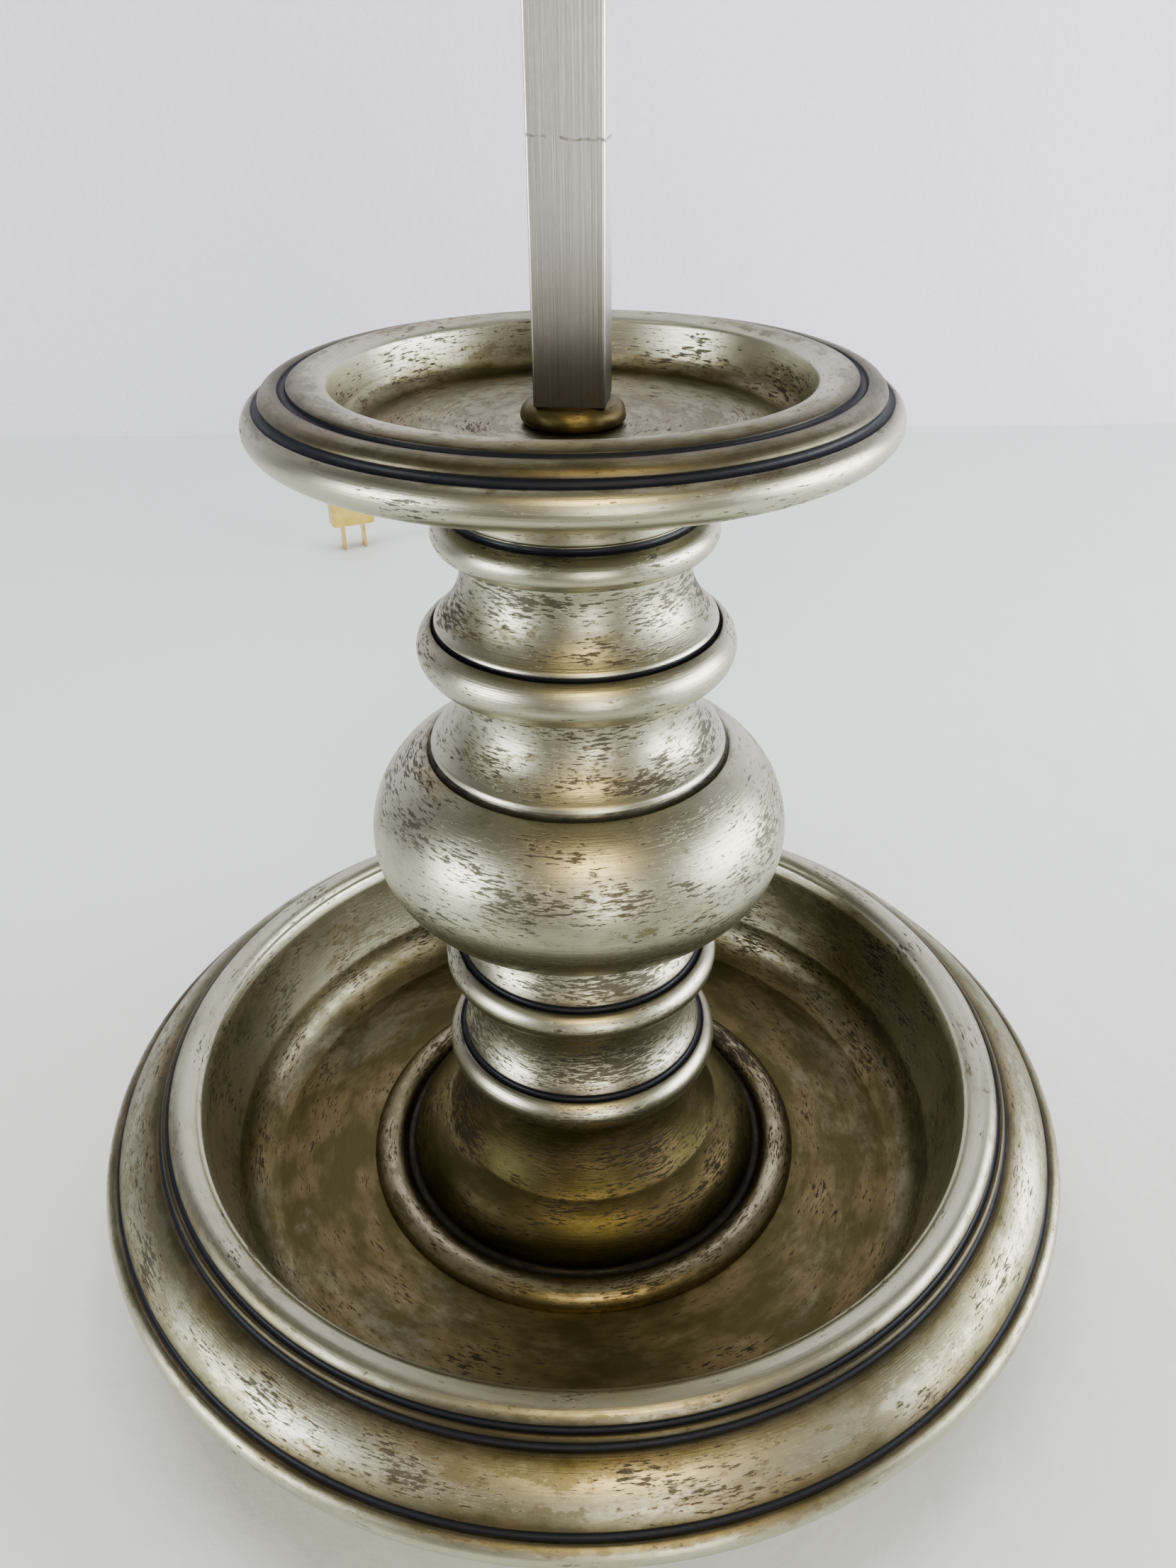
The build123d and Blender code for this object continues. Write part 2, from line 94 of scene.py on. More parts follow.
def unit(rows):
    """Each row at length 1."""
    return rows / np.linalg.norm(rows, axis=1)[:, None]


# ---- sizes and colours that a user would change ----
def colour(name, description, value):
    """Colour property with that default."""
    return FloatVectorProperty(name=name, description=description, default=(*value, 1.0), size=4, min=0.0,
                               max=1.0, subtype="COLOR")


class LampSizes(bpy.types.PropertyGroup):
    """Sizes that the frame doesn't fix."""
    segments: IntProperty(name="Segments", description="Sides of the large turned pieces", default=224, min=48,
                          max=256)
    small_segments: IntProperty(name="Small segments", description="Sides of the small turned pieces",
                                default=96, min=24, max=160)
    rounding: FloatProperty(name="Edge rounding", description="How far a turned edge is rounded off",
                            default=0.00022, min=0.00005, max=0.001, unit="LENGTH")
    relief_length: FloatProperty(name="Strain relief", description="Length of the lead's tapered strain relief",
                                 default=0.026, min=0.02, max=0.06, unit="LENGTH")
    drips: IntProperty(name="Wax drips", description="Drips down each candle sleeve", default=7, min=0, max=12)
    filament: FloatProperty(name="Filament wire", description="Radius of the bulb's filament loops",
                            default=0.00016, min=0.00005, max=0.0005, unit="LENGTH")


class LampColours(bpy.types.PropertyGroup):
    """Colours of the lamp's finishes and of the stage."""
    pewter: colour("Pewter", "Rubbed pewter on the crowns", (0.505, 0.490, 0.385))
    aged: colour("Aged pewter", "Olive brown patina", (0.112, 0.099, 0.046))
    umber: colour("Umber", "Warmer patches of the patina", (0.205, 0.165, 0.088))
    # dark also colours the painted shade at the post's foot
    dark: colour("Dark patina", "Marks that were left when the patina was rubbed off", (0.070, 0.062, 0.047))
    groove: colour("Groove", "Blue black filling of the turned grooves", (0.008, 0.010, 0.017))
    nickel: colour("Nickel", "Brushed nickel of the post and fittings", (0.86, 0.84, 0.795))
    candle: colour("Candle", "Ivory candle sleeves", (0.84, 0.77, 0.60))
    vinyl: colour("Lead", "Gold vinyl of the lead and plug", (0.66, 0.49, 0.08))
    table: colour("Table", "Painted table top", (0.655, 0.695, 0.68))
    wall: colour("Wall", "Plastered wall", (0.80, 0.785, 0.885))
    card: colour("Dark card", "Dark side of the room, seen only in reflections", (0.085, 0.070, 0.048))


# ---- outlines ----
def follow(outline, closed, step):
    """Evenly spaced points along an outline of (radius, height[, bulge]).

    A step without a bulge is a straight run. With one it is a circular arc: with the chord's middle M, its
    direction d and its left normal n, and phi = 2 atan(2 bulge / chord), the arc is
    M + d R sin(phi u) + n (R cos(phi u) - R cos phi) for u from -1 to 1, where R = chord / (2 sin phi).
    """
    rows = np.array([(*row, 0.0)[:3] for row in outline])
    ends = np.vstack([rows[1:], rows[:1]]) if closed else rows[1:]
    runs = []
    for here, (r, z, bulge) in zip(rows[:, :2], ends):
        chord = np.array([r, z]) - here
        length = np.hypot(*chord)
        if length == 0:
            continue
        u = np.linspace(-1, 1, max(3, int(1.6 * length / step)))[:-1, None]
        along = chord / length
        left = np.array([-along[1], along[0]])
        if bulge:
            phi = 2 * math.atan(2 * bulge / length)
            radius = length / (2 * math.sin(phi))
            run = here + chord / 2 + along * radius * np.sin(phi * u) + left * radius * (
                np.cos(phi * u) - math.cos(phi))
        else:
            run = here + chord * (u + 1) / 2
        runs.append(run)
    points = np.vstack([*runs, rows[:1, :2] if closed else rows[-1:, :2]])
    s = np.concatenate([[0], np.cumsum(np.hypot(*np.diff(points, axis=0).T))])
    even = np.linspace(0, s[-1], int(s[-1] / step) + 1)
    points = sample(even, s, points)
    return (points[:-1] if closed else points), s[-1]


CORNER, GROOVE, HOLLOW, CROWN = 0.1, 0.4, 2.4, 1.5      # reach, in mm, of each measure of the bend


def blur(values, spread, step, closed, kind="even"):
    """Values averaged along the outline under a bell curve. An open outline is mirrored at its ends."""
    half = int(math.ceil(4 * spread / step))
    bell = np.exp(-0.5 * (np.arange(-half, half + 1) * step / spread) ** 2)
    if closed:
        padded = np.pad(values, half, mode="wrap")
    else:
        padded = np.pad(values, half, mode="reflect", reflect_type=kind)
    return np.convolve(padded, bell / bell.sum(), mode="valid")


def profile(outline, closed, rounding, step=0.05, longest=1.7, sharpest=0.22):
    """Rounded outline with what the finish needs to know about it.

    Every corner is rounded by averaging the outline along its length. The bend k is the turn of its tangent
    for each millimetre. groove, hollow and crown are the inward or outward bend, averaged over their reach.
    Points are kept so that neighbours are less than `longest` mm and `sharpest` radians apart.
    """
    points, length = follow(outline, closed, step)
    kinds = ("odd", "even")
    sharp = [blur(points[:, i], CORNER, step, closed, kinds[i]) for i in (0, 1)]
    rounded = [blur(points[:, i], rounding, step, closed, kinds[i]) for i in (0, 1)]

    def bend(r, z):
        if closed:
            dr, dz = (np.roll(v, -1) - np.roll(v, 1) for v in (r, z))
        else:
            dr, dz = np.gradient(r), np.gradient(z)
        turn = np.arctan2(dz, dr)
        change = np.diff(turn, append=turn[:1]) if closed else np.gradient(turn)
        return (change + np.pi) % (2 * np.pi) - np.pi

    k = bend(*sharp) / step
    groove = blur(np.maximum(k, 0), GROOVE, step, closed)
    hollow = blur(np.maximum(k, 0), HOLLOW, step, closed)
    crown = blur(np.maximum(-k, 0), CROWN, step, closed)
    density = np.abs(bend(*rounded)) / sharpest + step / longest + step * np.minimum(groove, 1) / GROOVE
    total = np.concatenate([[0], np.cumsum(blur(density, 0.3, step, closed))])
    marks = np.arange(len(points) + 1, dtype=float)
    wanted = np.interp(np.linspace(0, total[-1], int(total[-1]) + 2), total, marks)
    wanted = wanted[:-1] if closed else np.clip(wanted, 0, len(points) - 1)
    values = np.column_stack([*rounded, groove, hollow, crown, np.arange(len(points)) * step])
    if closed:
        values = np.vstack([values, values[:1]])
        values[-1, 5] = length
        marks = np.arange(len(values), dtype=float)
    else:
        marks = marks[:-1]
    picked = sample(wanted, marks, values)
    if not closed:
        picked[[0, -1], 0] = 0
    return picked.T


# ---- meshes ----
def make_mesh(name, points, faces, marks=(), uv=None):
    """Smooth mesh object at the origin from points in metres, index arrays, point attributes and a UV map."""
    mesh = bpy.data.meshes.new(name)
    mesh.from_pydata(points.tolist(), [], [row for block in faces for row in block.tolist()])
    for label, values in dict(marks).items():
        kind, field = ("FLOAT", "value") if values.ndim == 1 else ("FLOAT_VECTOR", "vector")
        mesh.attributes.new(label, kind, "POINT").data.foreach_set(field, values.astype(np.float32).ravel())
    if uv is not None:
        mesh.uv_layers.new(name="surface").data.foreach_set("uv", uv.astype(np.float32).ravel())
    mesh.shade_smooth()
    mesh.update()
    made = bpy.data.objects.new(name, mesh)
    bpy.context.scene.collection.objects.link(made)
    return made


def grid_faces(rows, columns, wrap_rows, first=0):
    """Quads of a grid whose columns close on themselves, and its rows too if wrap_rows."""
    i = np.arange(rows if wrap_rows else rows - 1)[:, None]
    j = np.arange(columns)[None, :]
    below, beside = (i + 1) % rows, (j + 1) % columns
    corners = (i * columns + j, below * columns + j, below * columns + beside, i * columns + beside)
    return first + np.stack(np.broadcast_arrays(*corners), axis=-1).reshape(-1, 4)


def place(made, body, slot, material, *nodes):
    """Give a new piece its material and its body, and hide the CAD nodes that it stands for. The slot is not used.
    """
    made.data.materials.append(material)
    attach(made, body)
    if nodes:
        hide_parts(*nodes)
    return made


def lathe(name, outline, axis=(0.0, 0.0), closed=True, sides=None, age=0.2, swell=None, rounding=None):
    """Surface of revolution: (r cos a, r sin a, z) about an upright axis, for a point (r, z) of the outline and
    an angle a. An open outline starts and ends on the axis, where it closes in a fan.

    age is the share of patina, or pairs of (radius, share). swell(a, r, z) adds to the radius, in mm.
    """
    sizes = bpy.context.scene.lamp_sizes
    r, z, groove, hollow, crown, s = profile(outline, closed, rounding or sizes.rounding / MM)
    sides = sides or sizes.segments
    a = np.arange(sides) * 2 * np.pi / sides
    ring = r[:, None] + (swell(a[None, :], r[:, None], z[:, None]) if swell else 0)
    x, y = ring * np.cos(a), ring * np.sin(a)
    points = np.stack([x + axis[0], y + axis[1], np.broadcast_to(z[:, None], x.shape)], axis=-1)
    lay = np.stack([x, y, np.broadcast_to(s[:, None], x.shape)], axis=-1)
    share = np.interp(r, *np.array(age, float).T) if np.ndim(age) else np.full(len(r), float(age))
    marks = {"groove": groove, "hollow": hollow, "crown": crown, "age": share}
    marks = {label: np.repeat(values, sides) for label, values in marks.items()}
    marks["lay"] = lay.reshape(-1, 3) * MM
    points, faces = points.reshape(-1, 3) * MM, [grid_faces(len(r), sides, closed)]
    if not closed:
        keep = np.concatenate([[0], np.arange(sides, (len(r) - 1) * sides), [len(points) - 1]])
        points, marks = points[keep], {label: values[keep] for label, values in marks.items()}
        around, last = np.arange(sides), len(points) - 1
        beside = (around + 1) % sides
        start, end = 1 + around, last - sides + around
        faces = [grid_faces(len(r) - 2, sides, False, first=1),
                 np.column_stack([np.zeros(sides, int), start, 1 + beside]),
                 np.column_stack([np.full(sides, last), last - sides + beside, end])]
    return make_mesh(name, points, faces, marks)


def frames_along(path, up=(0.0, 0.0, 1.0)):
    """Unit tangent, side and upper directions of a path. The side is square to the tangent and to up."""
    tangent = unit(np.gradient(path, axis=0))
    side = unit(np.cross(tangent, up))
    return tangent, side, np.cross(side, tangent)


def carry(name, path, radii, section=None, sides=24, frames=None):
    """Tube: p(s) + q(f) (side(s) cos f + upper(s) sin f), for a path p, its radius at s times the section's
    share at the angle f. Both ends are closed by fans. The UV map is (f / 2 pi, s in metres)."""
    _, side, upper = frames or frames_along(path)
    f = np.arange(sides) * 2 * np.pi / sides
    share = section(f) if section else np.ones(sides)
    q = (np.asarray(radii)[:, None] * share[None, :])[..., None]
    points = path[:, None] + q * (side[:, None] * np.cos(f)[None, :, None]
                                  + upper[:, None] * np.sin(f)[None, :, None])
    rows = len(path)
    s = arc_length(path)
    points = np.vstack([points.reshape(-1, 3), path[:1], path[-1:]])
    around, count = np.arange(sides), rows * sides
    beside = (around + 1) % sides
    tube = grid_faces(rows, sides, False)[:, ::-1]
    caps = [np.column_stack([np.full(sides, count), around, beside]),
            np.column_stack([np.full(sides, count + 1), count - sides + beside, count - sides + around])]
    row, column = np.divmod(np.arange((rows - 1) * sides), sides)
    u = np.stack([column + 1, column + 1, column, column], axis=-1) / sides
    v = np.stack([s[row], s[row + 1], s[row + 1], s[row]], axis=-1)
    ends = np.zeros((2 * sides * 3, 2))
    ends[sides * 3:, 1] = s[-1]
    uv = np.vstack([np.stack([u, v], axis=-1).reshape(-1, 2), ends])
    return make_mesh(name, points, [tube, *caps], uv=uv)


# ---- finishes ----
TARNISHED, OLD_WAX, DUSTY_WAX = (0.40, 0.38, 0.34, 1), (0.78, 0.68, 0.48, 1), (0.46, 0.38, 0.25, 1)
WIRE_SHADOW, PALE_VINYL, PALE_PLUG = (0.48, 0.31, 0.08, 1), (0.80, 0.65, 0.26, 1), (0.80, 0.66, 0.22, 1)
OLD_PAINT = (0.62, 0.60, 0.56, 1)
# the first heights span the painted shade at the post's foot; the scuff and the wax dust are real marks
FOOT_SHADE, SCUFF, WAX_DUST = (0.008, 0.044), 0.0452, (0.008, 0.034)      # heights above the piece's foot, in metres
WIRES, LAY_LENGTH = 6, 0.0045                                       # stripes round the lead, and their pitch


class Finish:
    """A material's node tree, with one short call for each kind of node."""

    def __init__(self, name, **constants):
        self.material = bpy.data.materials.new(name)
        self.material.use_nodes = True
        self.tree = self.material.node_tree
        self.shader = self.tree.nodes["Principled BSDF"]
        for label, value in constants.items():
            self.shader.inputs[label.replace("_", " ")].default_value = value

    def put(self, socket, value):
        if isinstance(value, bpy.types.NodeSocket):
            self.tree.links.new(value, socket)
        else:
            socket.default_value = value

    def node(self, kind, *values, **settings):
        made = self.tree.nodes.new("ShaderNode" + kind)
        for label, value in settings.items():
            setattr(made, label, value)
        for socket, value in zip(made.inputs, values):
            if value is not None:
                self.put(socket, value)
        return made

    def attribute(self, label):
        made = self.node("Attribute", attribute_name=label)
        return made.outputs["Vector" if label == "lay" else "Fac"]

    def place(self):
        return self.node("TexCoord").outputs["Object"]

    def math(self, operation, *values):
        return self.node("Math", *values, operation=operation).outputs[0]

    def plus(self, value, *pairs):
        """value plus each socket times its factor."""
        for socket, factor in pairs:
            value = self.math("MULTIPLY_ADD", socket, factor, value)
        return value

    def sum(self, *pairs):
        """Each socket times its factor, added up."""
        return self.plus(0.0, *pairs)

    def times(self, value, factor):
        return self.math("MULTIPLY", value, factor)

    def rest(self, value):
        """1 less the value."""
        return self.math("SUBTRACT", 1.0, value)

    def fade(self, value, low, high):
        """0 below low, 1 above high, and a smooth step between."""
        return self.node("MapRange", value, low, high, 0.0, 1.0, interpolation_type="SMOOTHSTEP").outputs[0]

    def noise(self, where, stretch, detail=4.0, rough=0.6):
        """Noise whose stretch is its waves for each metre, one number or one for each axis."""
        if isinstance(stretch, (int, float)):
            stretch = (stretch,) * 3
        scaled = self.node("VectorMath", where, stretch, operation="MULTIPLY").outputs[0]
        made = self.node("TexNoise")
        for label, value in (("Vector", scaled), ("Scale", 1.0), ("Detail", detail), ("Roughness", rough)):
            self.put(made.inputs[label], value)
        return made.outputs["Fac"]

    def blend(self, share, first, second):
        made = self.node("Mix", data_type="RGBA")
        for index, value in ((0, share), (6, first), (7, second)):
            self.put(made.inputs[index], value)
        return made.outputs[2]

    def split(self, where):
        return self.node("SeparateXYZ", where).outputs

    def bump(self, height, strength, distance, under=None):
        made = self.node("Bump")
        for label, value in (("Strength", strength), ("Distance", distance), ("Height", height),
                             ("Normal", under)):
            if value is not None:
                self.put(made.inputs[label], value)
        return made.outputs["Normal"]

    def set(self, **links):
        for label, value in links.items():
            self.put(self.shader.inputs[label.replace("_", " ")], value)
        return self.material


def pewter(name, lift=0.0, warm=1.0, fill=0.76, scarred=0.0):
    """Antiqued pewter: turned lines, olive patina in hollows, dark dashes, rubbed crowns, filled grooves.

    lift adds patina everywhere. warm tints the rubbed metal. A bend sharper than fill counts as a groove.
    scarred adds dark dashes.
    """
    c = bpy.context.scene.lamp_colours
    f = Finish(name)
    lay = f.attribute("lay")
    groove, hollow, crown, age = (f.attribute(label) for label in ("groove", "hollow", "crown", "age"))
    lines, cloud, mottle, grain, dash, patch, blot = (f.noise(lay, *row) for row in (
        ((26, 26, 2600), 5.0, 0.62), ((24, 24, 60), 4.0, 0.6), ((230, 230, 420), 7.0, 0.72),
        ((1100, 1100, 1900), 3.0, 0.6), ((330, 330, 1900), 5.0, 0.66), ((50, 50, 90), 3.0, 0.5),
        ((110, 110, 380), 6.0, 0.68)))

    amount = f.plus(lift - 0.06, (cloud, 0.70), (mottle, 0.34), (age, 0.55), (hollow, 0.8), (crown, -0.35))
    stain = f.fade(amount, 0.50, 0.98)
    ragged = f.fade(f.plus(amount, (blot, 0.55), (mottle, 0.25), (grain, 0.08)), 1.11, 1.21)
    stain = f.math("MAXIMUM", stain, f.times(ragged, 0.72))
    marks = f.plus(scarred - 0.010, (dash, 0.74), (patch, 0.46), (grain, 0.10), (hollow, 0.05), (age, -0.075),
                   (crown, -0.22))
    dashes = f.fade(marks, 0.650, 0.715)
    specks = f.fade(f.plus(0.01, (mottle, 0.60), (grain, 0.50), (age, -0.02), (hollow, 0.2),
                           (crown, -0.15)), 0.64, 0.72)
    scars = f.math("MAXIMUM", dashes, f.times(specks, 0.7))
    filled = f.fade(f.sum((groove, 1.0), (mottle, 0.25)), fill, fill + 0.26)

    rubbed = tuple(value * tint for value, tint in zip(c.pewter, (warm, 1.0, 2 - warm, 1.0)))
    tone = f.blend(f.times(lines, 0.22), rubbed, c.aged)
    patina = f.blend(f.fade(f.sum((patch, 0.72), (blot, 0.28)), 0.42, 0.60), c.aged, c.umber)
    tone = f.blend(stain, tone, patina)
    tone = f.blend(f.times(scars, 0.84), tone, c.dark)
    tone = f.blend(f.times(f.fade(hollow, 0.12, 0.48), 0.78), tone, c.dark)
    tone = f.blend(filled, tone, c.groove)
    rough = f.plus(0.235, (lines, 0.14), (stain, 0.12), (scars, 0.20), (filled, 0.10), (grain, 0.06))
    metal = f.rest(f.times(filled, 0.8))
    height = f.sum((lines, 0.42), (mottle, 0.22), (grain, 0.15), (scars, -0.22), (filled, -0.3))
    return f.set(Base_Color=tone, Roughness=rough, Metallic=metal, Normal=f.bump(height, 0.30, 0.0004))


def nickel(name, along=2, foot_shade_and_scuff=False):
    """Brushed nickel with hair lines along one axis and a little tarnish.

    The last argument adds painted shade at the post's foot, where it stands in the pan, and the faint scuff of the
    post.
    """
    c = bpy.context.scene.lamp_colours
    f = Finish(name, Metallic=1.0)
    where = f.place()
    stretch = [2100.0, 2100.0, 2100.0]
    stretch[along] = 22.0
    hair = f.noise(where, tuple(stretch), 5.0, 0.65)
    wide = f.noise(where, tuple(value / 6 for value in stretch), 3.0, 0.5)
    cloud = f.noise(where, (45, 45, 30), 5.0, 0.6)
    speck = f.noise(where, 700, 4.0, 0.7)
    tarnish = f.fade(f.sum((cloud, 0.75), (speck, 0.30)), 0.52, 0.78)
    tone = f.blend(f.times(hair, 0.30), c.nickel, TARNISHED)
    tone = f.blend(f.times(tarnish, 0.45), tone, c.aged)
    rough = f.plus(0.22, (hair, 0.16), (tarnish, 0.12), (wide, 0.08))
    height = f.sum((hair, 0.8), (wide, 0.3), (speck, 0.1))
    if foot_shade_and_scuff:
        x, y, z = f.split(where)
        foot = level("post") * MM
        # painted shade: darker towards the post's foot, where it stands in the pan
        painted_foot_shade = f.rest(f.fade(f.plus(z, (cloud, 0.012)), foot + FOOT_SHADE[0], foot + FOOT_SHADE[1]))
        tone = f.blend(f.times(painted_foot_shade, 0.90), tone, c.dark)
        band = f.math("ABSOLUTE", f.math("SUBTRACT", f.plus(z, (x, 0.06), (wide, 0.0012)), foot + SCUFF))
        line = f.times(f.fade(band, 0.00055, 0.00005), f.fade(speck, 0.36, 0.55))
        tone = f.blend(f.times(line, 0.7), tone, c.dark)
        rough = f.plus(rough, (line, 0.25), (painted_foot_shade, 0.08))
    return f.set(Base_Color=tone, Roughness=rough, Normal=f.bump(height, 0.22, 0.0003))


def plain(name, base, second, roughness, scale, detail_scale, depth=0.0002, strength=0.3, **constants):
    """Two tones mottled together with a fine grain, for castings, plastic, felt, zinc and brass."""
    f = Finish(name, **constants)
    where = f.place()
    cloud = f.noise(where, scale, 5.0, 0.6)
    grain = f.noise(where, detail_scale, 6.0, 0.7)
    tone = f.blend(f.fade(f.sum((cloud, 0.6), (grain, 0.4)), 0.38, 0.64), base, second)
    rough = f.plus(roughness - 0.08, (cloud, 0.08), (grain, 0.10))
    return f.set(Base_Color=tone, Roughness=rough, Normal=f.bump(f.plus(grain, (cloud, 0.4)), strength, depth))


def glass(name, tint, wave):
    """Clear glass whose surface runs in faint blown waves, with fine dust low on its roughness."""
    f = Finish(name, Base_Color=tint, Metallic=0.0, IOR=1.46, Transmission_Weight=1.0)
    where = f.place()
    waves = f.noise(where, (wave, wave, wave * 0.35), 2.0, 0.4)
    dust = f.noise(where, 900, 3.0, 0.7)
    return f.set(Roughness=f.plus(-0.02, (f.fade(dust, 0.55, 0.8), 0.06), (waves, 0.05)),
                 Normal=f.bump(waves, 0.10, 0.0006))


def vinyl(name):
    """Translucent gold vinyl over twisted wire that shows through as slanting stripes."""
    c = bpy.context.scene.lamp_colours
    f = Finish(name, Transmission_Weight=0.25, IOR=1.5, Subsurface_Weight=0.25, Subsurface_Scale=0.002,
               Coat_Weight=0.35, Coat_Roughness=0.15)
    u, v, _ = f.split(f.node("UVMap", uv_map="surface").outputs[0])
    twist = f.math("SINE", f.sum((u, 2 * math.pi * WIRES), (v, 2 * math.pi / LAY_LENGTH)))
    wire = f.fade(twist, -0.6, 0.9)
    cloud = f.noise(f.place(), 160, 4.0, 0.6)
    tone = f.blend(f.times(wire, 0.45), c.vinyl, WIRE_SHADOW)
    tone = f.blend(f.fade(cloud, 0.45, 0.75), tone, PALE_VINYL)
    return f.set(Base_Color=tone, Roughness=f.plus(0.26, (cloud, 0.2)), Normal=f.bump(wire, 0.12, 0.0002))


def moulded(name):
    """Gold vinyl of the plug, with soft flow marks and scuffed edges."""
    c = bpy.context.scene.lamp_colours
    f = Finish(name, Transmission_Weight=0.3, IOR=1.5, Subsurface_Weight=0.3, Subsurface_Scale=0.004,
               Coat_Weight=0.3, Coat_Roughness=0.2)
    where = f.place()
    cloud = f.noise(where, (90, 90, 160), 4.0, 0.6)
    grain = f.noise(where, 1400, 4.0, 0.6)
    tone = f.blend(f.fade(cloud, 0.35, 0.7), c.vinyl, PALE_PLUG)
    return f.set(Base_Color=tone, Roughness=f.plus(0.24, (cloud, 0.22), (grain, 0.08)),
                 Normal=f.bump(f.plus(grain, (cloud, 0.6)), 0.2, 0.0002))


def wax(name):
    """Ivory candle sleeve: soft, slightly translucent, with faint runs and a dusty foot."""
    c = bpy.context.scene.lamp_colours
    f = Finish(name, Subsurface_Weight=0.3, Subsurface_Scale=0.004, Coat_Weight=0.12, Coat_Roughness=0.3)
    where = f.place()
    cloud = f.noise(where, (60, 60, 26), 5.0, 0.6)
    grain = f.noise(where, (1300, 1300, 700), 4.0, 0.6)
    z = f.split(where)[2]
    foot = level("candle_sleeve_left") * MM
    dusty = f.rest(f.fade(f.plus(z, (cloud, 0.02)), foot + WAX_DUST[0], foot + WAX_DUST[1]))
    tone = f.blend(f.fade(cloud, 0.35, 0.7), c.candle, OLD_WAX)
    tone = f.blend(f.times(dusty, 0.35), tone, DUSTY_WAX)
    return f.set(Base_Color=tone, Roughness=f.plus(0.34, (cloud, 0.16), (grain, 0.08)),
                 Normal=f.bump(f.plus(grain, (cloud, 0.5)), 0.18, 0.0003))


def dress(material, *nodes):
    """Give CAD nodes that keep their mesh a material."""
    for node in nodes:
        for slot in frame["nodes"][node].material_slots:
            slot.material = material


# ---- stage ----
TURN = math.radians(6.8)        # from the room's own axes to the lamp's
WALL_DISTANCE = 0.727
LENS, SENSOR = 27.70, 36.0
CAMERA_PLACE = (0.02783, -0.23339, 0.27418)
CAMERA_PITCH, CAMERA_YAW, CAMERA_ROLL = 0.562582, 0.0089864, -0.0096467
LAMP_CENTRE, POST_MIDDLE, BEHIND = (0, 0, 0.12), (0, 0, 0.28), (0, 0.15, 0)
# name, place, aim, width, height, power, tint, whether metal mirrors it
LIGHTS = (
    ("window_left", (-1.05, -0.55, 0.34), LAMP_CENTRE, 0.60, 0.50, 8.0, (0.94, 0.97, 1.0), True),
    ("window_right", (1.10, -0.05, 0.34), LAMP_CENTRE, 0.95, 0.50, 12.4, (0.95, 0.97, 1.0), True),
    ("ceiling", (0.0, 0.35, 1.7), BEHIND, 1.4, 1.1, 24, (0.97, 0.99, 1.0), False),
    ("room_lamp", (0.12, -0.80, 0.98), LAMP_CENTRE, 0.26, 0.22, 3.8, (1.0, 0.80, 0.42), True),
    ("doorway", (0.31, -1.27, 0.36), POST_MIDDLE, 0.36, 0.70, 4.6, (1.0, 0.97, 0.93), True),
)
TABLE_REACH, WALL_HEIGHT = 6.0, 2.6
CARD_REACH, CARD_FAR, CARD_NEAR = 1.2, -1.1, -0.31


def stage_material(name, tint, bumpy, one_sided=False):
    """Painted surface with faint clouds. One side can be left clear, so that a view from behind sees in."""
    f = Finish(name, Roughness=0.55)
    where = f.place()
    cloud = f.noise(where, 2.2, 4.0, 0.5)
    lumps = f.noise(where, bumpy, 5.0, 0.55)
    specks = f.fade(f.noise(where, 130, 3.0, 0.6), 0.74, 0.78)
    tone = f.blend(f.times(cloud, 0.5), tint, tuple(value * 0.93 for value in tint[:3]) + (1,))
    tone = f.blend(f.times(specks, 0.25), tone, OLD_PAINT)
    material = f.set(Base_Color=tone, Normal=f.bump(lumps, 0.5, 0.0016))
    if one_sided:
        clear = f.node("BsdfTransparent").outputs[0]
        back = f.node("NewGeometry").outputs["Backfacing"]
        both = f.node("MixShader", back, f.shader.outputs[0], clear).outputs[0]
        f.put(f.tree.nodes["Material Output"].inputs[0], both)
    return material


def soft_light(name, where, aim, width, height, power, tint, mirrored):
    """Rectangular soft light at a place, aimed at a point, that no camera sees. One that isn't mirrored lights
    the room but leaves no highlight on metal."""
    lamp = bpy.data.lights.new(name, "AREA")
    lamp.shape, lamp.size, lamp.size_y, lamp.energy, lamp.color = "RECTANGLE", width, height, power, tint
    made = bpy.data.objects.new(name, lamp)
    turn = Matrix.Rotation(TURN, 4, "Z")
    start, end = turn @ Vector(where), turn @ Vector(aim)
    made.matrix_world = Matrix.Translation(start) @ (end - start).to_track_quat("-Z", "Y").to_matrix().to_4x4()
    made.visible_camera = False
    made.visible_glossy = mirrored
    bpy.context.scene.collection.objects.link(made)


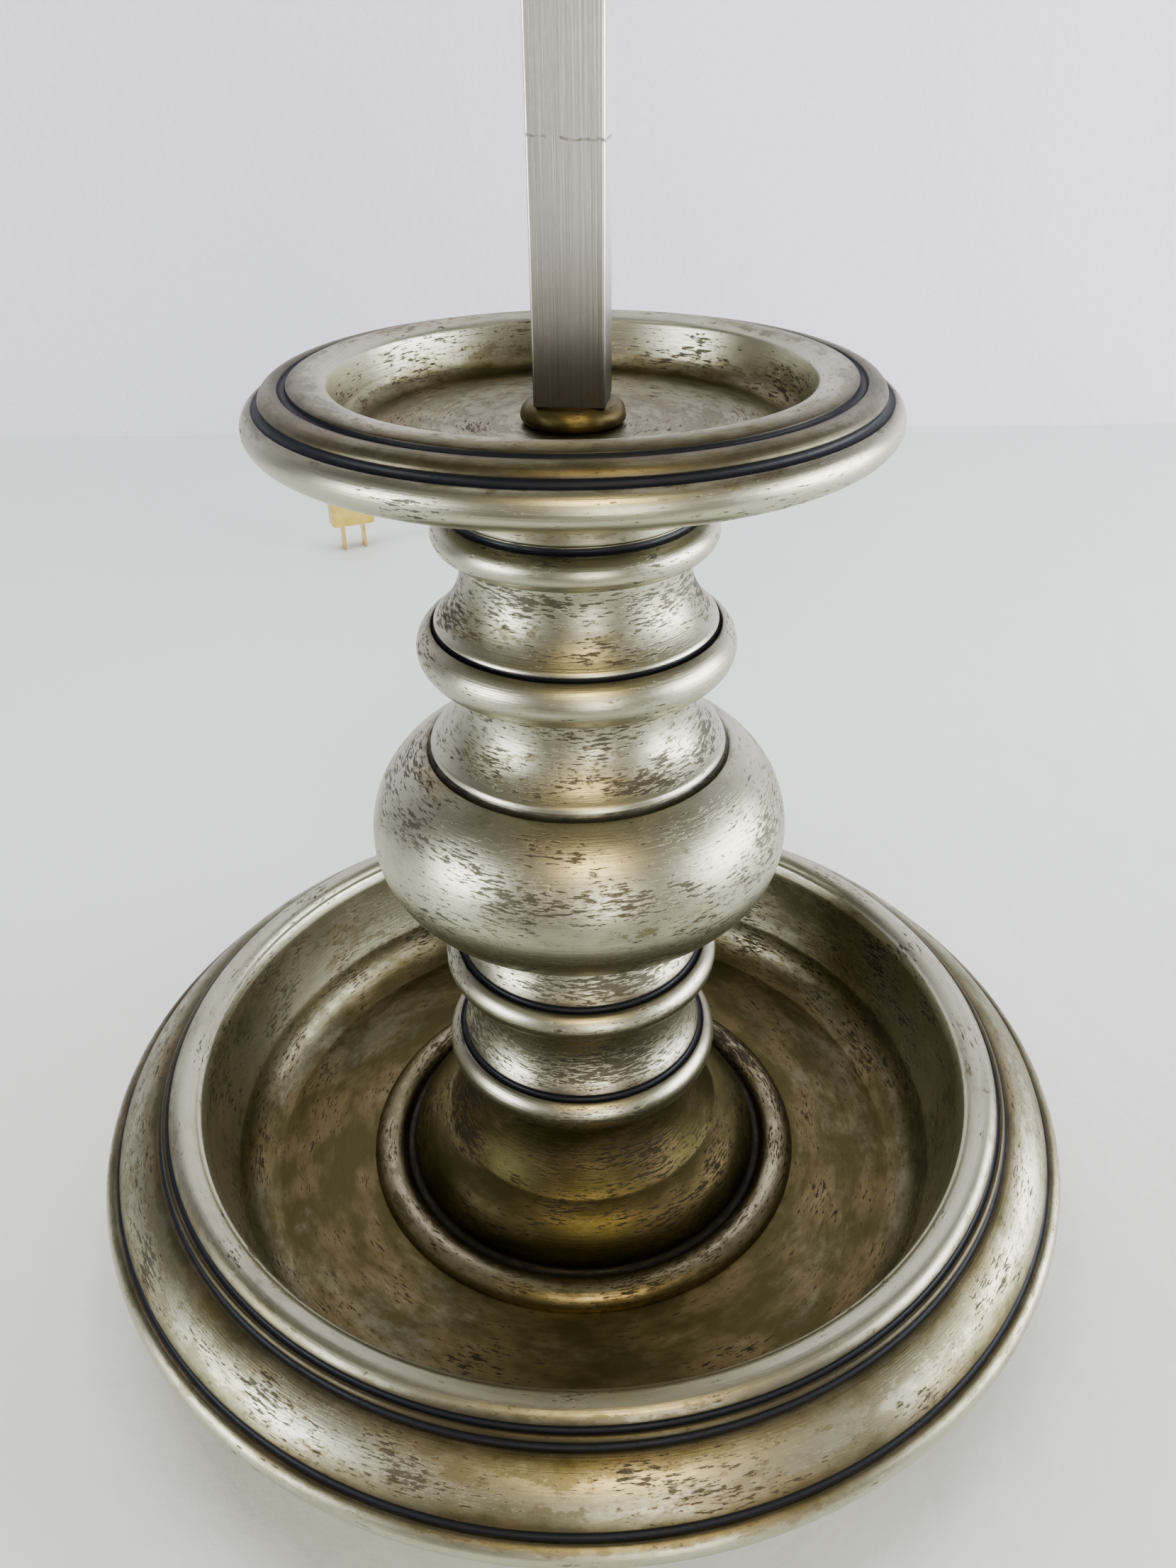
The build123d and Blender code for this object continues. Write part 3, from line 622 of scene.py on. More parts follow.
class LAMP_OT_stage(bpy.types.Operator):
    """Make the camera, the table top, the wall behind it and the soft lights"""
    bl_idname = "lamp.stage"
    bl_label = "Stage"

    def execute(self, context):
        camera = bpy.data.objects.new("camera", bpy.data.cameras.new("camera"))
        camera.data.lens, camera.data.sensor_width, camera.data.clip_start = LENS, SENSOR, 0.01
        camera.matrix_world = (Matrix.Translation(CAMERA_PLACE) @ Matrix.Rotation(TURN - CAMERA_YAW, 4, "Z")
                               @ Matrix.Rotation(math.pi / 2 - CAMERA_PITCH, 4, "X")
                               @ Matrix.Rotation(CAMERA_ROLL, 4, "Z"))
        context.scene.collection.objects.link(camera)
        context.scene.camera = camera

        c = context.scene.lamp_colours
        wide, back = TABLE_REACH, WALL_DISTANCE
        turn = np.array(Matrix.Rotation(TURN, 3, "Z"))
        floor = np.array([(-wide, -wide, 0), (wide, -wide, 0), (wide, wide, 0), (-wide, wide, 0)], float)
        wall = np.array([(-wide, back, WALL_HEIGHT), (-wide, back, 0), (wide, back, 0),
                         (wide, back, WALL_HEIGHT)], float)
        one = np.array([[0, 1, 2, 3]])
        card = np.array([(x, y, 0.001) for x, y in (
            (-CARD_REACH, CARD_FAR), (CARD_REACH, CARD_FAR), (CARD_REACH, CARD_NEAR), (-CARD_REACH, CARD_NEAR))])
        for name, corners, tint, bumpy, one_sided in (("table", floor, c.table, 60, False),
                                                      ("wall", wall, c.wall, 170, True),
                                                      ("dark_card", card, c.card, 60, False)):
            made = make_mesh(name, corners @ turn.T, [one])
            made.data.materials.append(stage_material(name, tint, bumpy, one_sided))
        # the card is only seen mirrored in the metal, as the dark side of a room would be
        made.visible_camera = made.visible_diffuse = made.visible_shadow = False

        world = context.scene.world or bpy.data.worlds.new("room")
        context.scene.world = world
        world.use_nodes = True
        shade = world.node_tree.nodes["Background"].inputs
        shade["Color"].default_value, shade["Strength"].default_value = (0.60, 0.58, 0.57, 1), 0.30
        for row in LIGHTS:
            soft_light(*row)
        context.scene.view_settings.look = "AgX - Medium High Contrast"
        context.scene.view_settings.exposure = 0.2
        return {"FINISHED"}


# ---- mains lead ----
LEAD = [(0, 80, 5.85), (0, 97, 5.85), (2.5, 123, 2.8), (9.6, 150, 2.65)]
TAIL = [(10.4, 216.8, 6.8), (-0.4, 256.8, 2.9), (-23, 311.5, 2.65), (-34.1, 370.6, 2.65),
        (-29.1, 429.6, 2.65), (-43.4, 482.3, 2.65), (-82.9, 509.8, 2.65), (-122.6, 504.1, 13),
        (-153.3, 483.9, 33), (-171.35, 473.5, 33)]
COIL_CENTRE, COIL_RADIUS, CORD_DIAMETER, COIL_TURNS, TURN_POINTS = (-22.0, 178.0), 34.3, 5.3, 6, 16
RELIEF_FOOT, RELIEF_TAPER, RIBS, RIB_DEPTH = 0.0038, 0.00085, 7, 0.00028
FIGURE, FIGURE_WIDTH = 0.16, 0.30          # depth and width of the groove between the lead's two wires


def smooth_step(value, low, high):
    """3 t^2 - 2 t^3 with t from 0 at low to 1 at high."""
    t = np.clip((value - low) / (high - low), 0, 1)
    return t * t * (3 - 2 * t)


def coil_points():
    """Put-away turns: a bottom layer of three that winds inwards and a top layer that winds out again. Each
    turn steps over by a diameter where nothing lies beside it."""
    points = []
    for i in range(1, COIL_TURNS * TURN_POINTS):
        t = i / TURN_POINTS
        inwards = smooth_step(t, 0.7, 1.0) + smooth_step(t, 1.7, 2.0)
        outwards = smooth_step(t, 3.85, 4.15) + smooth_step(t, 5.0, 5.3)
        radius = COIL_RADIUS - CORD_DIAMETER * (inwards - outwards)
        radius /= math.cos(math.pi / TURN_POINTS)
        height = CORD_DIAMETER * (0.5 + smooth_step(t, 2.95, 3.25))
        angle = 2 * math.pi * t
        points.append((COIL_CENTRE[0] + radius * math.cos(angle), COIL_CENTRE[1] + radius * math.sin(angle),
                       height))
    return points


def cord_path():
    """Points read along the lead's smooth line, in metres."""
    route = LEAD + [(12.3, 177, 2.65)] + coil_points() + [(12.3, 178, 7.95)] + TAIL
    curve = bpy.data.curves.new("route", "CURVE")
    curve.dimensions = "3D"
    curve.resolution_u = 12
    spline = curve.splines.new("NURBS")
    spline.points.add(len(route) - 1)
    for point, where in zip(spline.points, route):
        point.co = (*(MM * v for v in where), 1.0)
    spline.order_u = 3
    spline.use_endpoint_u = True
    line = bpy.data.objects.new("route", curve)
    mesh = bpy.data.meshes.new_from_object(line)
    path = np.array([vertex.co for vertex in mesh.vertices])
    for block, store in ((line, bpy.data.objects), (mesh, bpy.data.meshes), (curve, bpy.data.curves)):
        store.remove(block)
    return path[np.concatenate([[True], np.linalg.norm(np.diff(path, axis=0), axis=1) > 1e-6])]


class LAMP_OT_lead(bpy.types.Operator):
    """Make the gold twin lead with its put-away turns, its strain relief and its plug"""
    bl_idname = "lamp.lead"
    bl_label = "Mains lead"

    def execute(self, context):
        path = cord_path()
        radius = CORD_DIAMETER / 2 * MM
        skin = vinyl("gold_vinyl_lead")
        cord = carry("lead", path, np.full(len(path), radius),
                     lambda f: 1 - FIGURE * np.exp(-(np.cos(f) / FIGURE_WIDTH) ** 2), sides=28)
        place(cord, "stand", "gold_cord", skin, "cord_lead", "cord_coil", "cord_tail")

        s = arc_length(path)
        steps = np.linspace(0, context.scene.lamp_sizes.relief_length, 90)
        along = sample(steps, s, path)
        t = steps / steps[-1]
        ribs = RIB_DEPTH * np.maximum(0, np.sin(2 * math.pi * RIBS * t)) * (t > 0.2) * (t < 0.93)
        wall = RELIEF_FOOT - RELIEF_TAPER * t + ribs
        wall[-1] = radius * 1.01
        relief = carry("strain_relief", along, wall, sides=40)
        rubber = plain("black_moulding", (0.022, 0.022, 0.024, 1), (0.045, 0.044, 0.043, 1), 0.5, 120, 1600)
        place(relief, "stand", "black_plastic", rubber)

        dress(moulded("gold_vinyl_plug"), "plug_body")
        brass = plain("blade_brass", (0.78, 0.58, 0.25, 1), (0.60, 0.42, 0.17, 1), 0.28, 200, 1800,
                      Metallic=1.0)
        dress(brass, "plug_prongs")
        dress(rubber, "cord_bushing")
        return {"FINISHED"}


# ---- foot and dish ----
PIPE_HOLE = 5.1    # radius of the hole that the threaded pipe passes through


class LAMP_OT_dish(bpy.types.Operator):
    """Make the spun dish with its rolled rim, and finish the weight, felt and nut under it"""
    bl_idname = "lamp.dish"
    bl_label = "Dish and foot"

    def execute(self, context):
        floor, under = level("bell_foot"), level("base_weight", True)
        top = level("base_dish", True)
        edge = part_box("base_dish")[1][0] / MM
        r, z = edge - 25.3, floor + 34.9
        hem = z - 12.1
        outline = [
            (PIPE_HOLE, floor), (83.5, floor), (92.0, floor + 11.8, -2.4), (r - 1.0, z - 2.6, -0.8),
            (r, z), (r + 0.7, z + 0.4), (r + 7.7, z + 0.2, 2.2),
            (r + 8.7, z - 0.7, -0.7), (r + 9.8, z - 1.9, 0.35), (r + 10.9, z - 3.1, -0.7),
            (edge - 3.9, hem + 0.8, 1.2), (edge - 2.7, hem - 0.4, -0.8),
            (edge - 3.4, hem - 7.0, 3.0), (edge - 5.8, hem - 5.1),
            (edge - 5.6, hem - 1.2), (r + 9.3, z - 4.9, -1.2),
            (r + 6.6, z - 1.9), (r + 3.4, z - 1.6), (r + 1.4, z - 3.6),
            (93.8, floor + 11.0, 0.8), (84.1, under, 2.6), (PIPE_HOLE, under)]
        age = [(0, 0.98), (58, 0.95), (82, 0.90), (85, 0.74), (91, 0.46), (97, 0.24), (r + 4, 0.26),
               (r + 8, 0.34), (r + 12, 0.54), (r + 17, 0.36), (edge - 4, 0.50), (edge, 0.35)]
        metal = pewter("antique_pewter", fill=0.90)
        dish = lathe("spun_dish", outline, age=age)
        place(dish, "stand", "antique_pewter", metal, "base_dish")

        casting = plain("black_casting", (0.028, 0.028, 0.030, 1), (0.060, 0.056, 0.052, 1), 0.62, 90, 900,
                        0.0008, 0.6)
        felt = plain("green_felt", (0.022, 0.050, 0.030, 1), (0.050, 0.085, 0.055, 1), 0.95, 500, 3200,
                     0.0008, 0.7, Sheen_Weight=0.5)
        zinc = plain("zinc_plate", (0.56, 0.57, 0.56, 1), (0.40, 0.40, 0.38, 1), 0.38, 150, 1500,
                     Metallic=1.0)
        dress(casting, "base_weight")
        dress(felt, "felt_pad")
        dress(zinc, "base_washer", "base_nut", "stem_pipe")
        return {"FINISHED"}


# ---- turned stem ----
WEB = 3.0          # thickness at the top of each hollow piece


class LAMP_OT_stem(bpy.types.Operator):
    """Make the seven turned pieces of the stem"""
    bl_idname = "lamp.stem"
    bl_label = "Turned stem"

    def execute(self, context):
        bright = pewter("rubbed_pewter", -0.05, scarred=0.022)
        dark = pewter("dark_pewter", 0.10, 1.06, scarred=0.055)
        # top radius, the hollow's radii at its foot and top, the bulge of its wall, the share of patina, and
        # the outline of the side from the top down
        rows = {
            "bell_foot": (28.2, 40.0, 22.0, 0,
                          [(0, 0.9), (28, 0.75), (34, 0.80), (46, 0.70), (49, 0.50), (53.4, 0.34), (58, 0.5)],
                          lambda f, t: [(36.0, f + 13.8, -2.5), (46.6, f + 2.0, 2.6), (49.0, f + 1.2, -1.1),
                                        (57.8, f, 3.4)]),
            "lower_bead": (28.6, 22.0, 21.0, 0, 0.05,
                           lambda f, t: [(29.9, f + 11.0, -2.8), (30.3, f + 10.4), (31.6, f + 9.5, -0.9),
                                         (30.2, f + 0.4, 3.4), (29.0, f)]),
            "upper_bead": (27.5, 21.0, 20.0, 0, 0.06,
                           lambda f, t: [(28.9, f + 9.6, -2.4), (29.3, f + 8.9), (30.6, f + 8.0, -0.9),
                                         (29.6, f, 3.4)]),
            "knop": (31.8, 20.0, 20.0, -18.0, 0.30,
                     lambda f, t: [(34.0, t - 1.0, -0.9), (47.6, f + 16.6, 3.9), (30.0, f, 4.9)]),
            "neck_bead": (29.0, 22.0, 20.0, 0, 0.32,
                          lambda f, t: [(30.9, t - 0.5, -0.9), (27.5, t - 10.8, 4.9), (25.4, t - 12.0),
                                        (32.6, f + 1.2, -2.6), (33.0, f)]),
            "shoulder": (24.2, 20.0, 18.5, 0, 0.36, lambda f, t: [(29.9, f + 0.8, -2.4), (30.2, f)]),
            "pan_collar": (25.2, 18.5, 18.5, 0, 0.18, lambda f, t: [(26.4, t - 1.3, -0.7), (24.6, f, 4.0)]),
        }
        for node, (top_radius, cavity_foot, cavity_top, bulge, age, side) in rows.items():
            foot, top = level(node), level(node, True)
            outline = [(PIPE_HOLE, top), (top_radius, top), *side(foot, top), (cavity_foot, foot),
                       (cavity_top, top - WEB, bulge), (PIPE_HOLE, top - WEB)]
            material, slot = (dark, "dark_pewter") if node == "bell_foot" else (bright, "antique_pewter")
            place(lathe("turned_" + node, outline, age=age), "stand", slot, material, node)
        return {"FINISHED"}


class LAMP_OT_pan(bpy.types.Operator):
    """Make the drip pan under the post, and the lock ring that the post stands on"""
    bl_idname = "lamp.pan"
    bl_label = "Drip pan"

    def execute(self, context):
        z, hub, r = level("post_ring"), level("drip_pan"), 62.4
        lip, under = z + 10.0, z - 2.4
        outline = [
            (PIPE_HOLE, z), (r - 21.4, z), (r - 17.6, z + 3.6, -1.0), (r - 16.3, lip - 0.6),
            (r - 8.9, lip, 1.2), (r - 7.5, lip - 0.4, -0.9), (r - 3.6, lip - 2.2, 0.9),
            (r - 2.2, lip - 3.4, -0.9), (r - 4.6, z - 0.4, 3.5), (r - 9.4, z + 1.8, -0.6),
            (r - 13.8, z + 0.8), (r - 17.9, under, 0.8), (34.0, under), (25.2, hub + 1.5, -3.0), (25.2, hub),
            (18.5, hub), (18.5, under - 0.8), (PIPE_HOLE, under - 0.8)]
        age = [(0, 0.58), (34, 0.54), (41, 0.86), (44, 0.45), (46, 0.22), (48, 0.48), (54, 0.52), (58, 0.55),
               (60, 0.34), (62, 0.22)]
        metal = pewter("pan_pewter", -0.03, fill=0.42)
        place(lathe("drip_pan_spun", outline, age=age), "stand", "antique_pewter", metal, "drip_pan")

        top, ring, bore = z + 4.4, 10.1, 4.85
        outline = [(bore, top), (ring - 2.6, top), (ring, z + 2.2, 0.6), (ring - 1.2, z, 0.6), (bore, z)]
        place(lathe("lock_ring", outline, age=0.5, sides=context.scene.lamp_sizes.small_segments,
                    swell=lambda a, r, h: 0.10 * np.sin(9 * a + h) * np.sin(4 * a + 1.0) * (r > bore + 1)),
              "stand", "dark_pewter", pewter("ring_pewter", 0.45, 1.06, scarred=0.06), "post_ring")
        return {"FINISHED"}


# ---- post ----
class LAMP_OT_post(bpy.types.Operator):
    """Finish the square post and its cap, and make the finial"""
    bl_idname = "lamp.post"
    bl_label = "Post and finial"

    def execute(self, context):
        # the post's finish is painted darker at its foot, as shade
        dress(nickel("brushed_post", foot_shade_and_scuff=True), "post")
        dress(nickel("brushed_cap"), "post_cap")
        foot, r = level("finial"), 10.5
        top = level("finial", True)
        outline = [(0, top), (1.6, top - 0.6, 0.4), (2.4, top - 5.0, -0.4), (r - 3.0, top - 13.0, -1.2),
                   (r, top - 18.0, 0.9), (4.2, foot + 7.5, 2.2), (4.2, foot + 5.5), (6.6, foot + 3.6, 0.9),
                   (6.0, foot), (0, foot)]
        place(lathe("turned_finial", outline, closed=False, age=0.2,
                    sides=context.scene.lamp_sizes.small_segments),
              "stand", "antique_pewter", pewter("finial_pewter"), "finial")
        return {"FINISHED"}


# ---- carriage and arms ----
ARM_REACH, ARM_DIP, ARM_BEND, ARM_RADIUS = 92.0, 31.0, 12.4, 4.5


def rounded_path(corners, radius, spacing):
    """Straight runs joined by arcs of one radius, sampled evenly, in one upright plane. Each corner is cut
    back by radius times the tangent of half its turn."""
    corners = np.array(corners, float)
    pieces = [corners[:1]]
    for before, at, after in zip(corners, corners[1:], corners[2:]):
        into, out = (at - before) / np.linalg.norm(at - before), (after - at) / np.linalg.norm(after - at)
        turn = math.acos(np.clip(into @ out, -1, 1))
        cut = radius * math.tan(turn / 2)
        t = np.linspace(0, turn, 24)[:, None]
        inner = (out - into * math.cos(turn)) / math.sin(turn)
        pieces.append(at - into * cut + radius * (into * np.sin(t) + inner * (1 - np.cos(t))))
    points = np.vstack([*pieces, corners[-1:]])
    s = arc_length(points)
    even = np.linspace(0, s[-1], int(s[-1] / spacing))
    return sample(even, s, points), even


class LAMP_OT_carriage(bpy.types.Operator):
    """Finish the sliding carriage and its thumbscrew, and make the two swung arms"""
    bl_idname = "lamp.carriage"
    bl_label = "Carriage and arms"

    def execute(self, context):
        dress(nickel("brushed_carriage"), "carriage_sleeve")
        dress(nickel("brushed_screw", along=1), "clamp_screw")
        low, high = (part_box("carriage_sleeve")[i] for i in (0, 1))
        root, middle = high[0] / MM, (low[2] + high[2]) / 2 / MM
        end, dip = level("switch_housing_left"), middle - ARM_DIP
        half_way = root + (ARM_REACH - root) * 0.5
        metal = pewter("arm_pewter", -0.02)
        for word, side in SIDES:
            corners = [(root, 0, middle), (root + 20, 0, middle), (half_way, 0, dip), (ARM_REACH, 0, dip),
                       (ARM_REACH, 0, end)]
            path, s = rounded_path([(side * x, y, z) for x, y, z in corners], ARM_BEND, 0.55)
            far = s[-1] - s
            radii = (ARM_RADIUS + 2.5 * (1 - smooth_step(s, 1.7, 2.5)) + 1.0 * np.exp(-((s - 5.2) / 0.9) ** 2)
                     + 1.1 * np.exp(-((far - 4.0) / 1.0) ** 2) + 0.7 * np.exp(-((far - 6.6) / 0.6) ** 2))
            tangent = unit(np.gradient(path, axis=0))
            across = np.broadcast_to([0.0, 1.0, 0.0], path.shape)
            made = carry("arm_swung_" + word, path * MM, radii * MM, sides=48,
                         frames=(tangent, across, np.cross(across, tangent)))
            mark_tube(made, s, radii, 48)
            place(made, "carriage", "antique_pewter", metal, "arm_" + word)
        return {"FINISHED"}


def mark_tube(made, s, radii, sides):
    """Point attributes of a carried tube for the pewter finish: the bend of its radius along its length."""
    step = s[1] - s[0]
    k = np.gradient(np.gradient(radii, step), step)
    values = {"groove": blur(np.maximum(k, 0), 0.6, step, False) * 0.5,
              "hollow": blur(np.maximum(k, 0), 1.8, step, False),
              "crown": blur(np.maximum(-k, 0), 1.2, step, False), "age": np.full(len(s), 0.22)}
    for label, column in values.items():
        column = np.concatenate([np.repeat(column, sides), column[[0, -1]]]).astype(np.float32)
        made.data.attributes.new(label, "FLOAT", "POINT").data.foreach_set("value", column)
    f = np.arange(sides) * 2 * np.pi / sides
    lay = np.stack(np.broadcast_arrays(5 * np.cos(f)[None, :], 5 * np.sin(f)[None, :], s[:, None]), axis=-1)
    lay = np.vstack([lay.reshape(-1, 3), [[0, 0, s[0]], [0, 0, s[-1]]]]) * MM
    made.data.attributes.new("lay", "FLOAT_VECTOR", "POINT").data.foreach_set(
        "vector", lay.astype(np.float32).ravel())


# ---- candle lights ----
LEANING = (0.31, 0.87, 0.39)        # an up direction that no bulb wire runs along


def candle_drips(count, seed, top):
    """Radius added by wax drips, in mm: each is a bell across its width that fades in at the top and ends in a
    thicker drop."""
    random = np.random.default_rng(seed)
    angle = (np.arange(count) + random.uniform(-0.25, 0.25, count)) * 2 * np.pi / max(count, 1)
    length, width = random.uniform(12, 46, count), random.uniform(0.10, 0.17, count)

    def swell(a, r, z):
        down = top - z
        total = np.zeros(np.broadcast_shapes(a.shape, r.shape))
        for at, reach, wide in zip(angle, length, width):
            across = np.exp(-(((a - at + np.pi) % (2 * np.pi) - np.pi) / wide) ** 2)
            run = 0.75 * smooth_step(down, 0.3, 3.0) * (1 - smooth_step(down, reach - 2.2, reach + 1.6))
            drop = 0.65 * np.exp(-((down - reach + 2.6) / 2.6) ** 2)
            total = total + across * (run + drop)
        return total * (r > 11.2)
    return swell


def ogee(here, there, first):
    """Two equal arcs from one place to another, both upright at their ends."""
    middle = ((here[0] + there[0]) / 2, (here[1] + there[1]) / 2)
    lean = math.atan(abs(there[0] - here[0]) / abs(there[1] - here[1]))
    bulge = math.dist(here, middle) / 2 * math.tan(lean / 2)
    return (*middle, first * bulge), (*there, -first * bulge)


def filament_path(x, foot):
    """Two hairpin loops of a coiled wire round the bulb's stem, in metres: a rosette of radius 4.2 mm whose
    height runs up and down four times in a turn, with a fine winding of radius 0.35 mm on it."""
    t = np.linspace(0.02, 0.98, 900)
    a = 2 * np.pi * t
    base = np.stack([4.2 * np.cos(a), 4.2 * np.sin(a), 10 * np.abs(np.sin(2 * a)) ** 0.8], axis=-1)
    wind = 2 * np.pi * 90 * t
    base[:, 0] += 0.35 * np.cos(wind) * np.cos(a)
    base[:, 1] += 0.35 * np.cos(wind) * np.sin(a)
    base[:, 2] += 0.35 * np.sin(wind)
    return (base + [x, 0, foot]) * MM


class LAMP_OT_candle_lights(bpy.types.Operator):
    """Make both candle lights: switch housing, saucer, gallery, cup, ivory sleeve, socket and flame bulb"""
    bl_idname = "lamp.candle_lights"
    bl_label = "Candle lights"

    def execute(self, context):
        sizes = context.scene.lamp_sizes
        small = sizes.small_segments
        metal, ivory = pewter("light_pewter", -0.02), wax("ivory_wax")
        ring_metal, key_metal = nickel("brushed_gallery"), nickel("brushed_key", along=1)
        envelope = glass("bulb_glass", (0.99, 0.99, 0.985, 1), 60)
        plastic = plain("socket_black", (0.020, 0.020, 0.021, 1), (0.04, 0.04, 0.04, 1), 0.42, 150, 1500)
        brass = plain("bulb_brass", (0.76, 0.58, 0.28, 1), (0.58, 0.42, 0.19, 1), 0.30, 220, 1800, Metallic=1.0)
        zinc = bpy.data.materials["zinc_plate"]
        wire = plain("tungsten", (0.30, 0.28, 0.26, 1), (0.18, 0.17, 0.16, 1), 0.35, 400, 4000, Metallic=1.0)
        stem_glass = glass("bulb_stem_glass", (0.96, 0.97, 0.96, 1), 90)
        for index, (word, side) in enumerate(SIDES):
            x = side * ARM_REACH
            axis = (x, 0.0)

            def turned(label, node, outline, slot="antique_pewter", material=metal, **shape):
                place(lathe(label + word, outline, axis, **shape), "carriage", slot, material, node + word)

            foot, top, r = level("switch_housing_" + word), level("switch_housing_" + word, True), 12.5
            outline = [(0, top), (8.6, top), (9.4, top - 1.6, 0.5), (r - 3, top - 3.4, -0.5), (r, top - 7, 0.9),
                       (r, top - 13), (r - 5, foot + 2, 1.5), (r - 6, foot), (0, foot)]
            turned("housing_", "switch_housing_", outline, closed=False, sides=small, age=0.25)
            dress(key_metal, "switch_key_" + word, "gallery_screws_" + word)

            z, r, low, bore = level("gallery_" + word), 36.0, top, 3.3
            outline = [(bore, z), (r - 6.6, z), (r - 5, z + 2, -0.5), (r - 4.4, z + 5), (r - 2, z + 5.2, 0.8),
                       (r - 1.2, z + 4.6, -0.5), (r - 2, z - 0.6, 1.6), (r - 4.5, z + 0.2), (r - 6.5, z - 1.8),
                       (14, z - 2), (8.6, low + 1.5, -1.6), (8.6, low), (bore, low)]
            turned("saucer_spun_", "saucer_", outline, age=[(0, 0.5), (29, 0.5), (32, 0.2), (36, 0.12)])

            rim, r, wall = level("gallery_" + word, True), 27.8, 1.5
            outline = [(r - wall, rim), (r, rim, 0.3), (r, z), (r - 8, z), (r - 8, z + wall), (r - wall, z + wall)]
            turned("gallery_ring_", "gallery_", outline, "brushed_nickel", ring_metal, sides=128, age=0.2)

            r, seat = 12.0, z + 2.0
            outline = [(r + 0.05, z + 9), (r + 1, z + 9, 0.3), (r + 2.6, z + 7.6, 0.3), (r + 1.6, z + 5, -0.5),
                       (r + 3, z + 2, -0.4), (r + 3, z), (4.85, z), (4.85, seat), (r + 0.05, seat)]
            turned("candle_cup_turned_", "candle_cup_", outline, sides=small, age=0.25)

            top = level("candle_sleeve_" + word, True)
            outline = [(r - 1.5, top), (r - 0.4, top, 0.3), (r, top - 0.8), (r, seat), (r - 1.5, seat)]
            turned("candle_", "candle_sleeve_", outline, "ivory", ivory, sides=160, rounding=0.35,
                   swell=candle_drips(sizes.drips, 11 + index, top))

            dress(plastic, "lamp_socket_" + word)
            dress(brass, "bulb_cap_" + word)
            dress(zinc, "socket_stem_" + word)

            foot, r, skin, cap = top + 1.0, 17.0, 0.8, 6.3
            tip, belly = level("bulb_glass_" + word, True), foot + 72.0 * 0.33
            outline = [(0, tip), (1.2, tip - 1.5, 0.4), (r * 0.42, belly + 26, -0.6), (r, belly, 3.4),
                       (cap, foot + 1, 1.2), (cap, foot), (0, foot)]
            inner = [(0, foot + skin), (cap - skin, foot + skin + 0.6), (r - skin, belly, -1.2),
                     (r * 0.42 - skin, belly + 25.4, -3.4), (0, tip - 6)]
            made = join_shells("bulb_" + word, lathe("shell", outline, axis, False, small, rounding=0.4),
                               lathe("inside", inner, axis, False, small, rounding=0.4))
            place(made, "carriage", "bulb_glass", envelope, "bulb_glass_" + word)

            base = foot + skin + 1.0
            outline = [(0, base + 17), (1.3, base + 16, 0.3), (0.9, base + 8, -0.2), (3.2, base, -0.8), (0, base)]
            place(lathe("bulb_stem_" + word, outline, axis, False, 40), "carriage", "bulb_glass", stem_glass)
            path = filament_path(x, base + 14)
            place(carry("filament_" + word, path, np.full(len(path), sizes.filament), sides=6,
                        frames=frames_along(path, LEANING)), "carriage", "zinc", wire)
            for number, lean in enumerate((-1, 1)):
                t = np.linspace(0, 1, 24)[:, None]
                ends = [np.array([x + lean * 1.6, 0, base + 2]), np.array([x + lean * 4.2, 0, base + 14.2])]
                bow = np.array([lean * 1.0, 0, 0]) * np.sin(np.pi * t)
                path = ((1 - t) * ends[0] + t * ends[1] + bow) * MM
                place(carry(f"lead_wire_{word}_{number}", path, np.full(len(path), 0.00022), sides=8,
                            frames=frames_along(path, LEANING)), "carriage", "zinc", wire)
        return {"FINISHED"}


def join_shells(name, outer, inner):
    """One mesh of an outer shell and the hollow inside it."""
    bpy.ops.object.select_all(action="DESELECT")
    inner.select_set(True)
    outer.select_set(True)
    bpy.context.view_layer.objects.active = outer
    bpy.ops.object.join()
    outer.name = outer.data.name = name
    outer.select_set(False)
    return outer


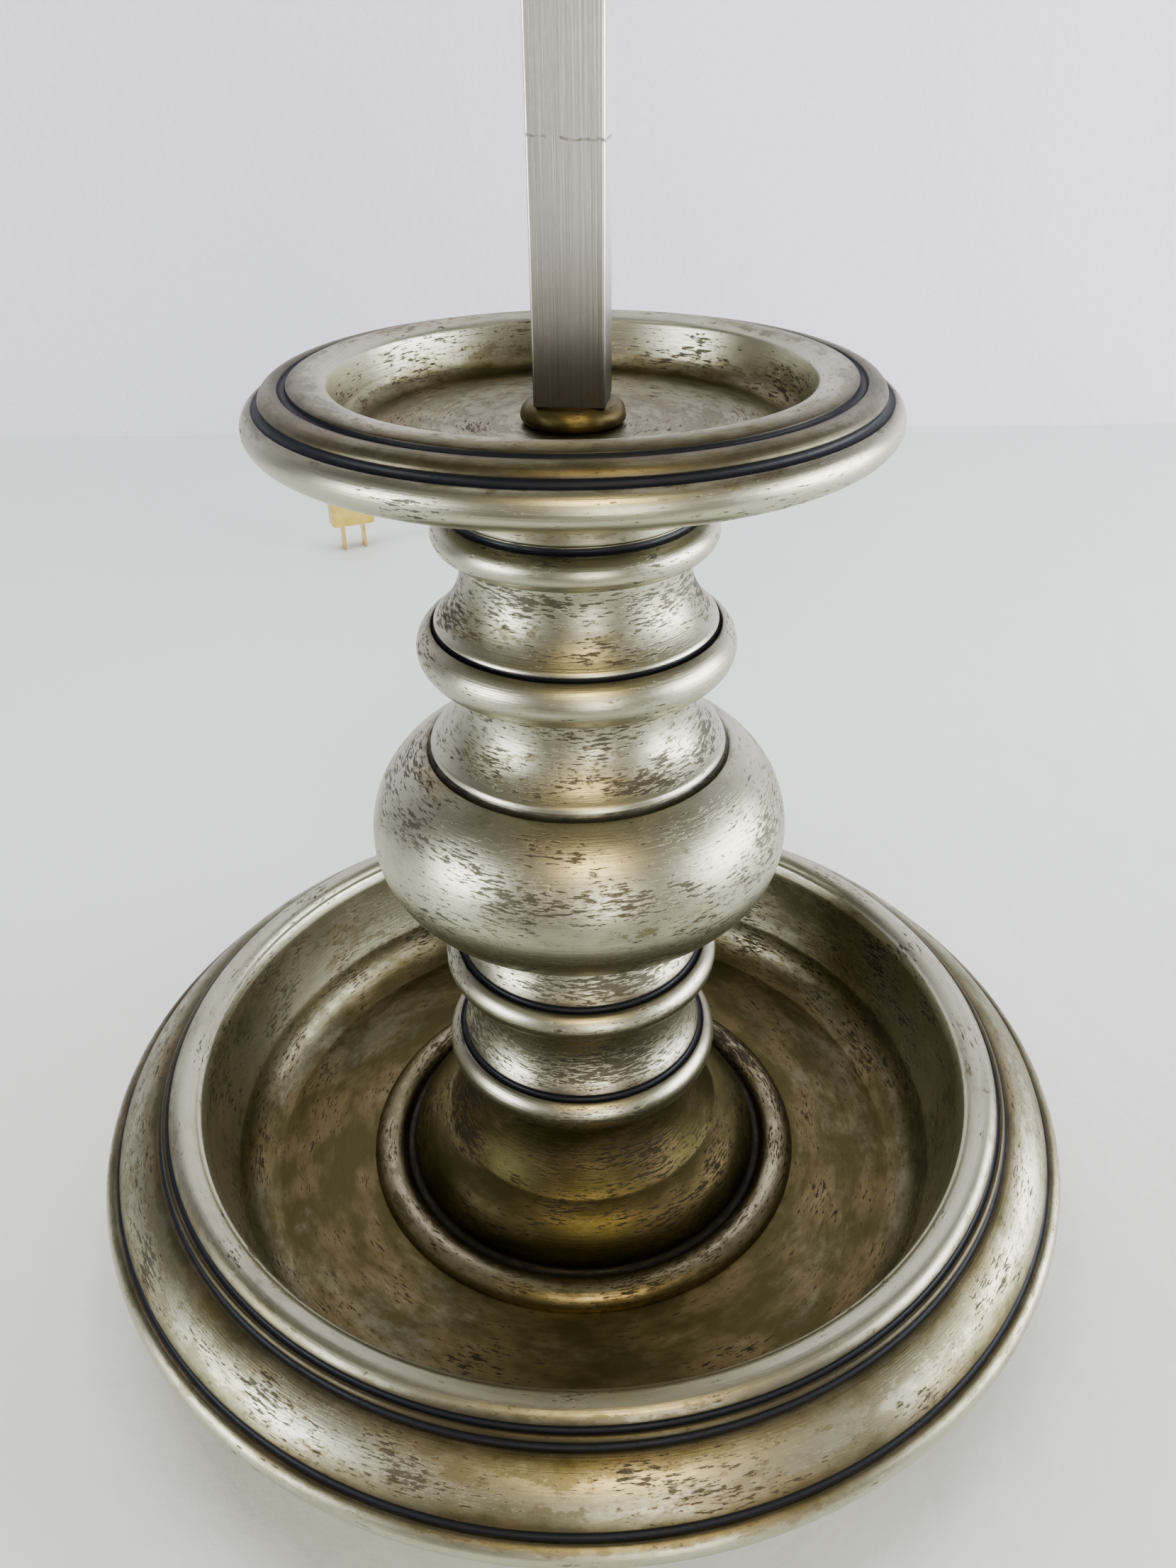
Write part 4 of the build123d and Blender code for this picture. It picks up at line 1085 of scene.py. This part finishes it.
class LAMP_OT_chimneys(bpy.types.Operator):
    """Make the two blown glass chimneys"""
    bl_idname = "lamp.chimneys"
    bl_label = "Glass chimneys"

    def execute(self, context):
        clear = glass("blown_glass", (0.985, 0.995, 0.99, 1), 26)
        for word, side in SIDES:
            foot, top = level("chimney_" + word), level("chimney_" + word, True)
            heel, belly, throat, wall, mouth = foot + 14, foot + 62, foot + 165, 2.0, 31.0
            outer = [(28.2, throat), (42.0, belly), (25.0, heel)]
            inner = [(r - wall, z) for r, z in reversed(outer)]
            outline = [(mouth - wall, top), (mouth, top, 0.7), (*outer[0], -0.6), *ogee(outer[0], outer[1], -1),
                       *ogee(outer[1], outer[2], 1), (25.0, foot), (25.0 - wall, foot), inner[0],
                       *ogee(inner[0], inner[1], 1), *ogee(inner[1], inner[2], -1),
                       (mouth - wall + 0.01, top - 0.01, 0.6)]
            made = lathe("chimney_blown_" + word, outline, (side * ARM_REACH, 0.0), sides=144, rounding=0.45,
                         swell=lambda a, r, z: 0.12 * np.sin(2 * a + z / 19) + 0.05 * np.sin(5 * a - z / 7))
            place(made, "chimney_" + word, "clear_glass", clear, "chimney_" + word)
        return {"FINISHED"}


# ---- panel and run ----
OPERATORS = (LAMP_OT_stage, LAMP_OT_lead, LAMP_OT_dish, LAMP_OT_stem, LAMP_OT_pan, LAMP_OT_post,
             LAMP_OT_carriage, LAMP_OT_candle_lights, LAMP_OT_chimneys)


class LAMP_PT_panel(bpy.types.Panel):
    """Lists the lamp's pieces, sizes and colours"""
    bl_label = "Hurricane candle lamp"
    bl_idname = "LAMP_PT_panel"
    bl_space_type = "VIEW_3D"
    bl_region_type = "UI"
    bl_category = "Lamp"

    def draw(self, context):
        for operator in OPERATORS:
            self.layout.operator(operator.bl_idname)
        for group in (context.scene.lamp_sizes, context.scene.lamp_colours):
            box = self.layout.box()
            for label in group.__annotations__:
                box.prop(group, label)


CLASSES = (LampSizes, LampColours, *OPERATORS, LAMP_PT_panel)


def register():
    for each in CLASSES:
        bpy.utils.register_class(each)
    bpy.types.Scene.lamp_sizes = PointerProperty(type=LampSizes)
    bpy.types.Scene.lamp_colours = PointerProperty(type=LampColours)


def unregister():
    del bpy.types.Scene.lamp_colours, bpy.types.Scene.lamp_sizes
    for each in reversed(CLASSES):
        bpy.utils.unregister_class(each)


def main():
    """Build every piece in order."""
    register()
    for operator in OPERATORS:
        family, name = operator.bl_idname.split(".")
        getattr(getattr(bpy.ops, family), name)()


if __name__ == "__main__":
    main()
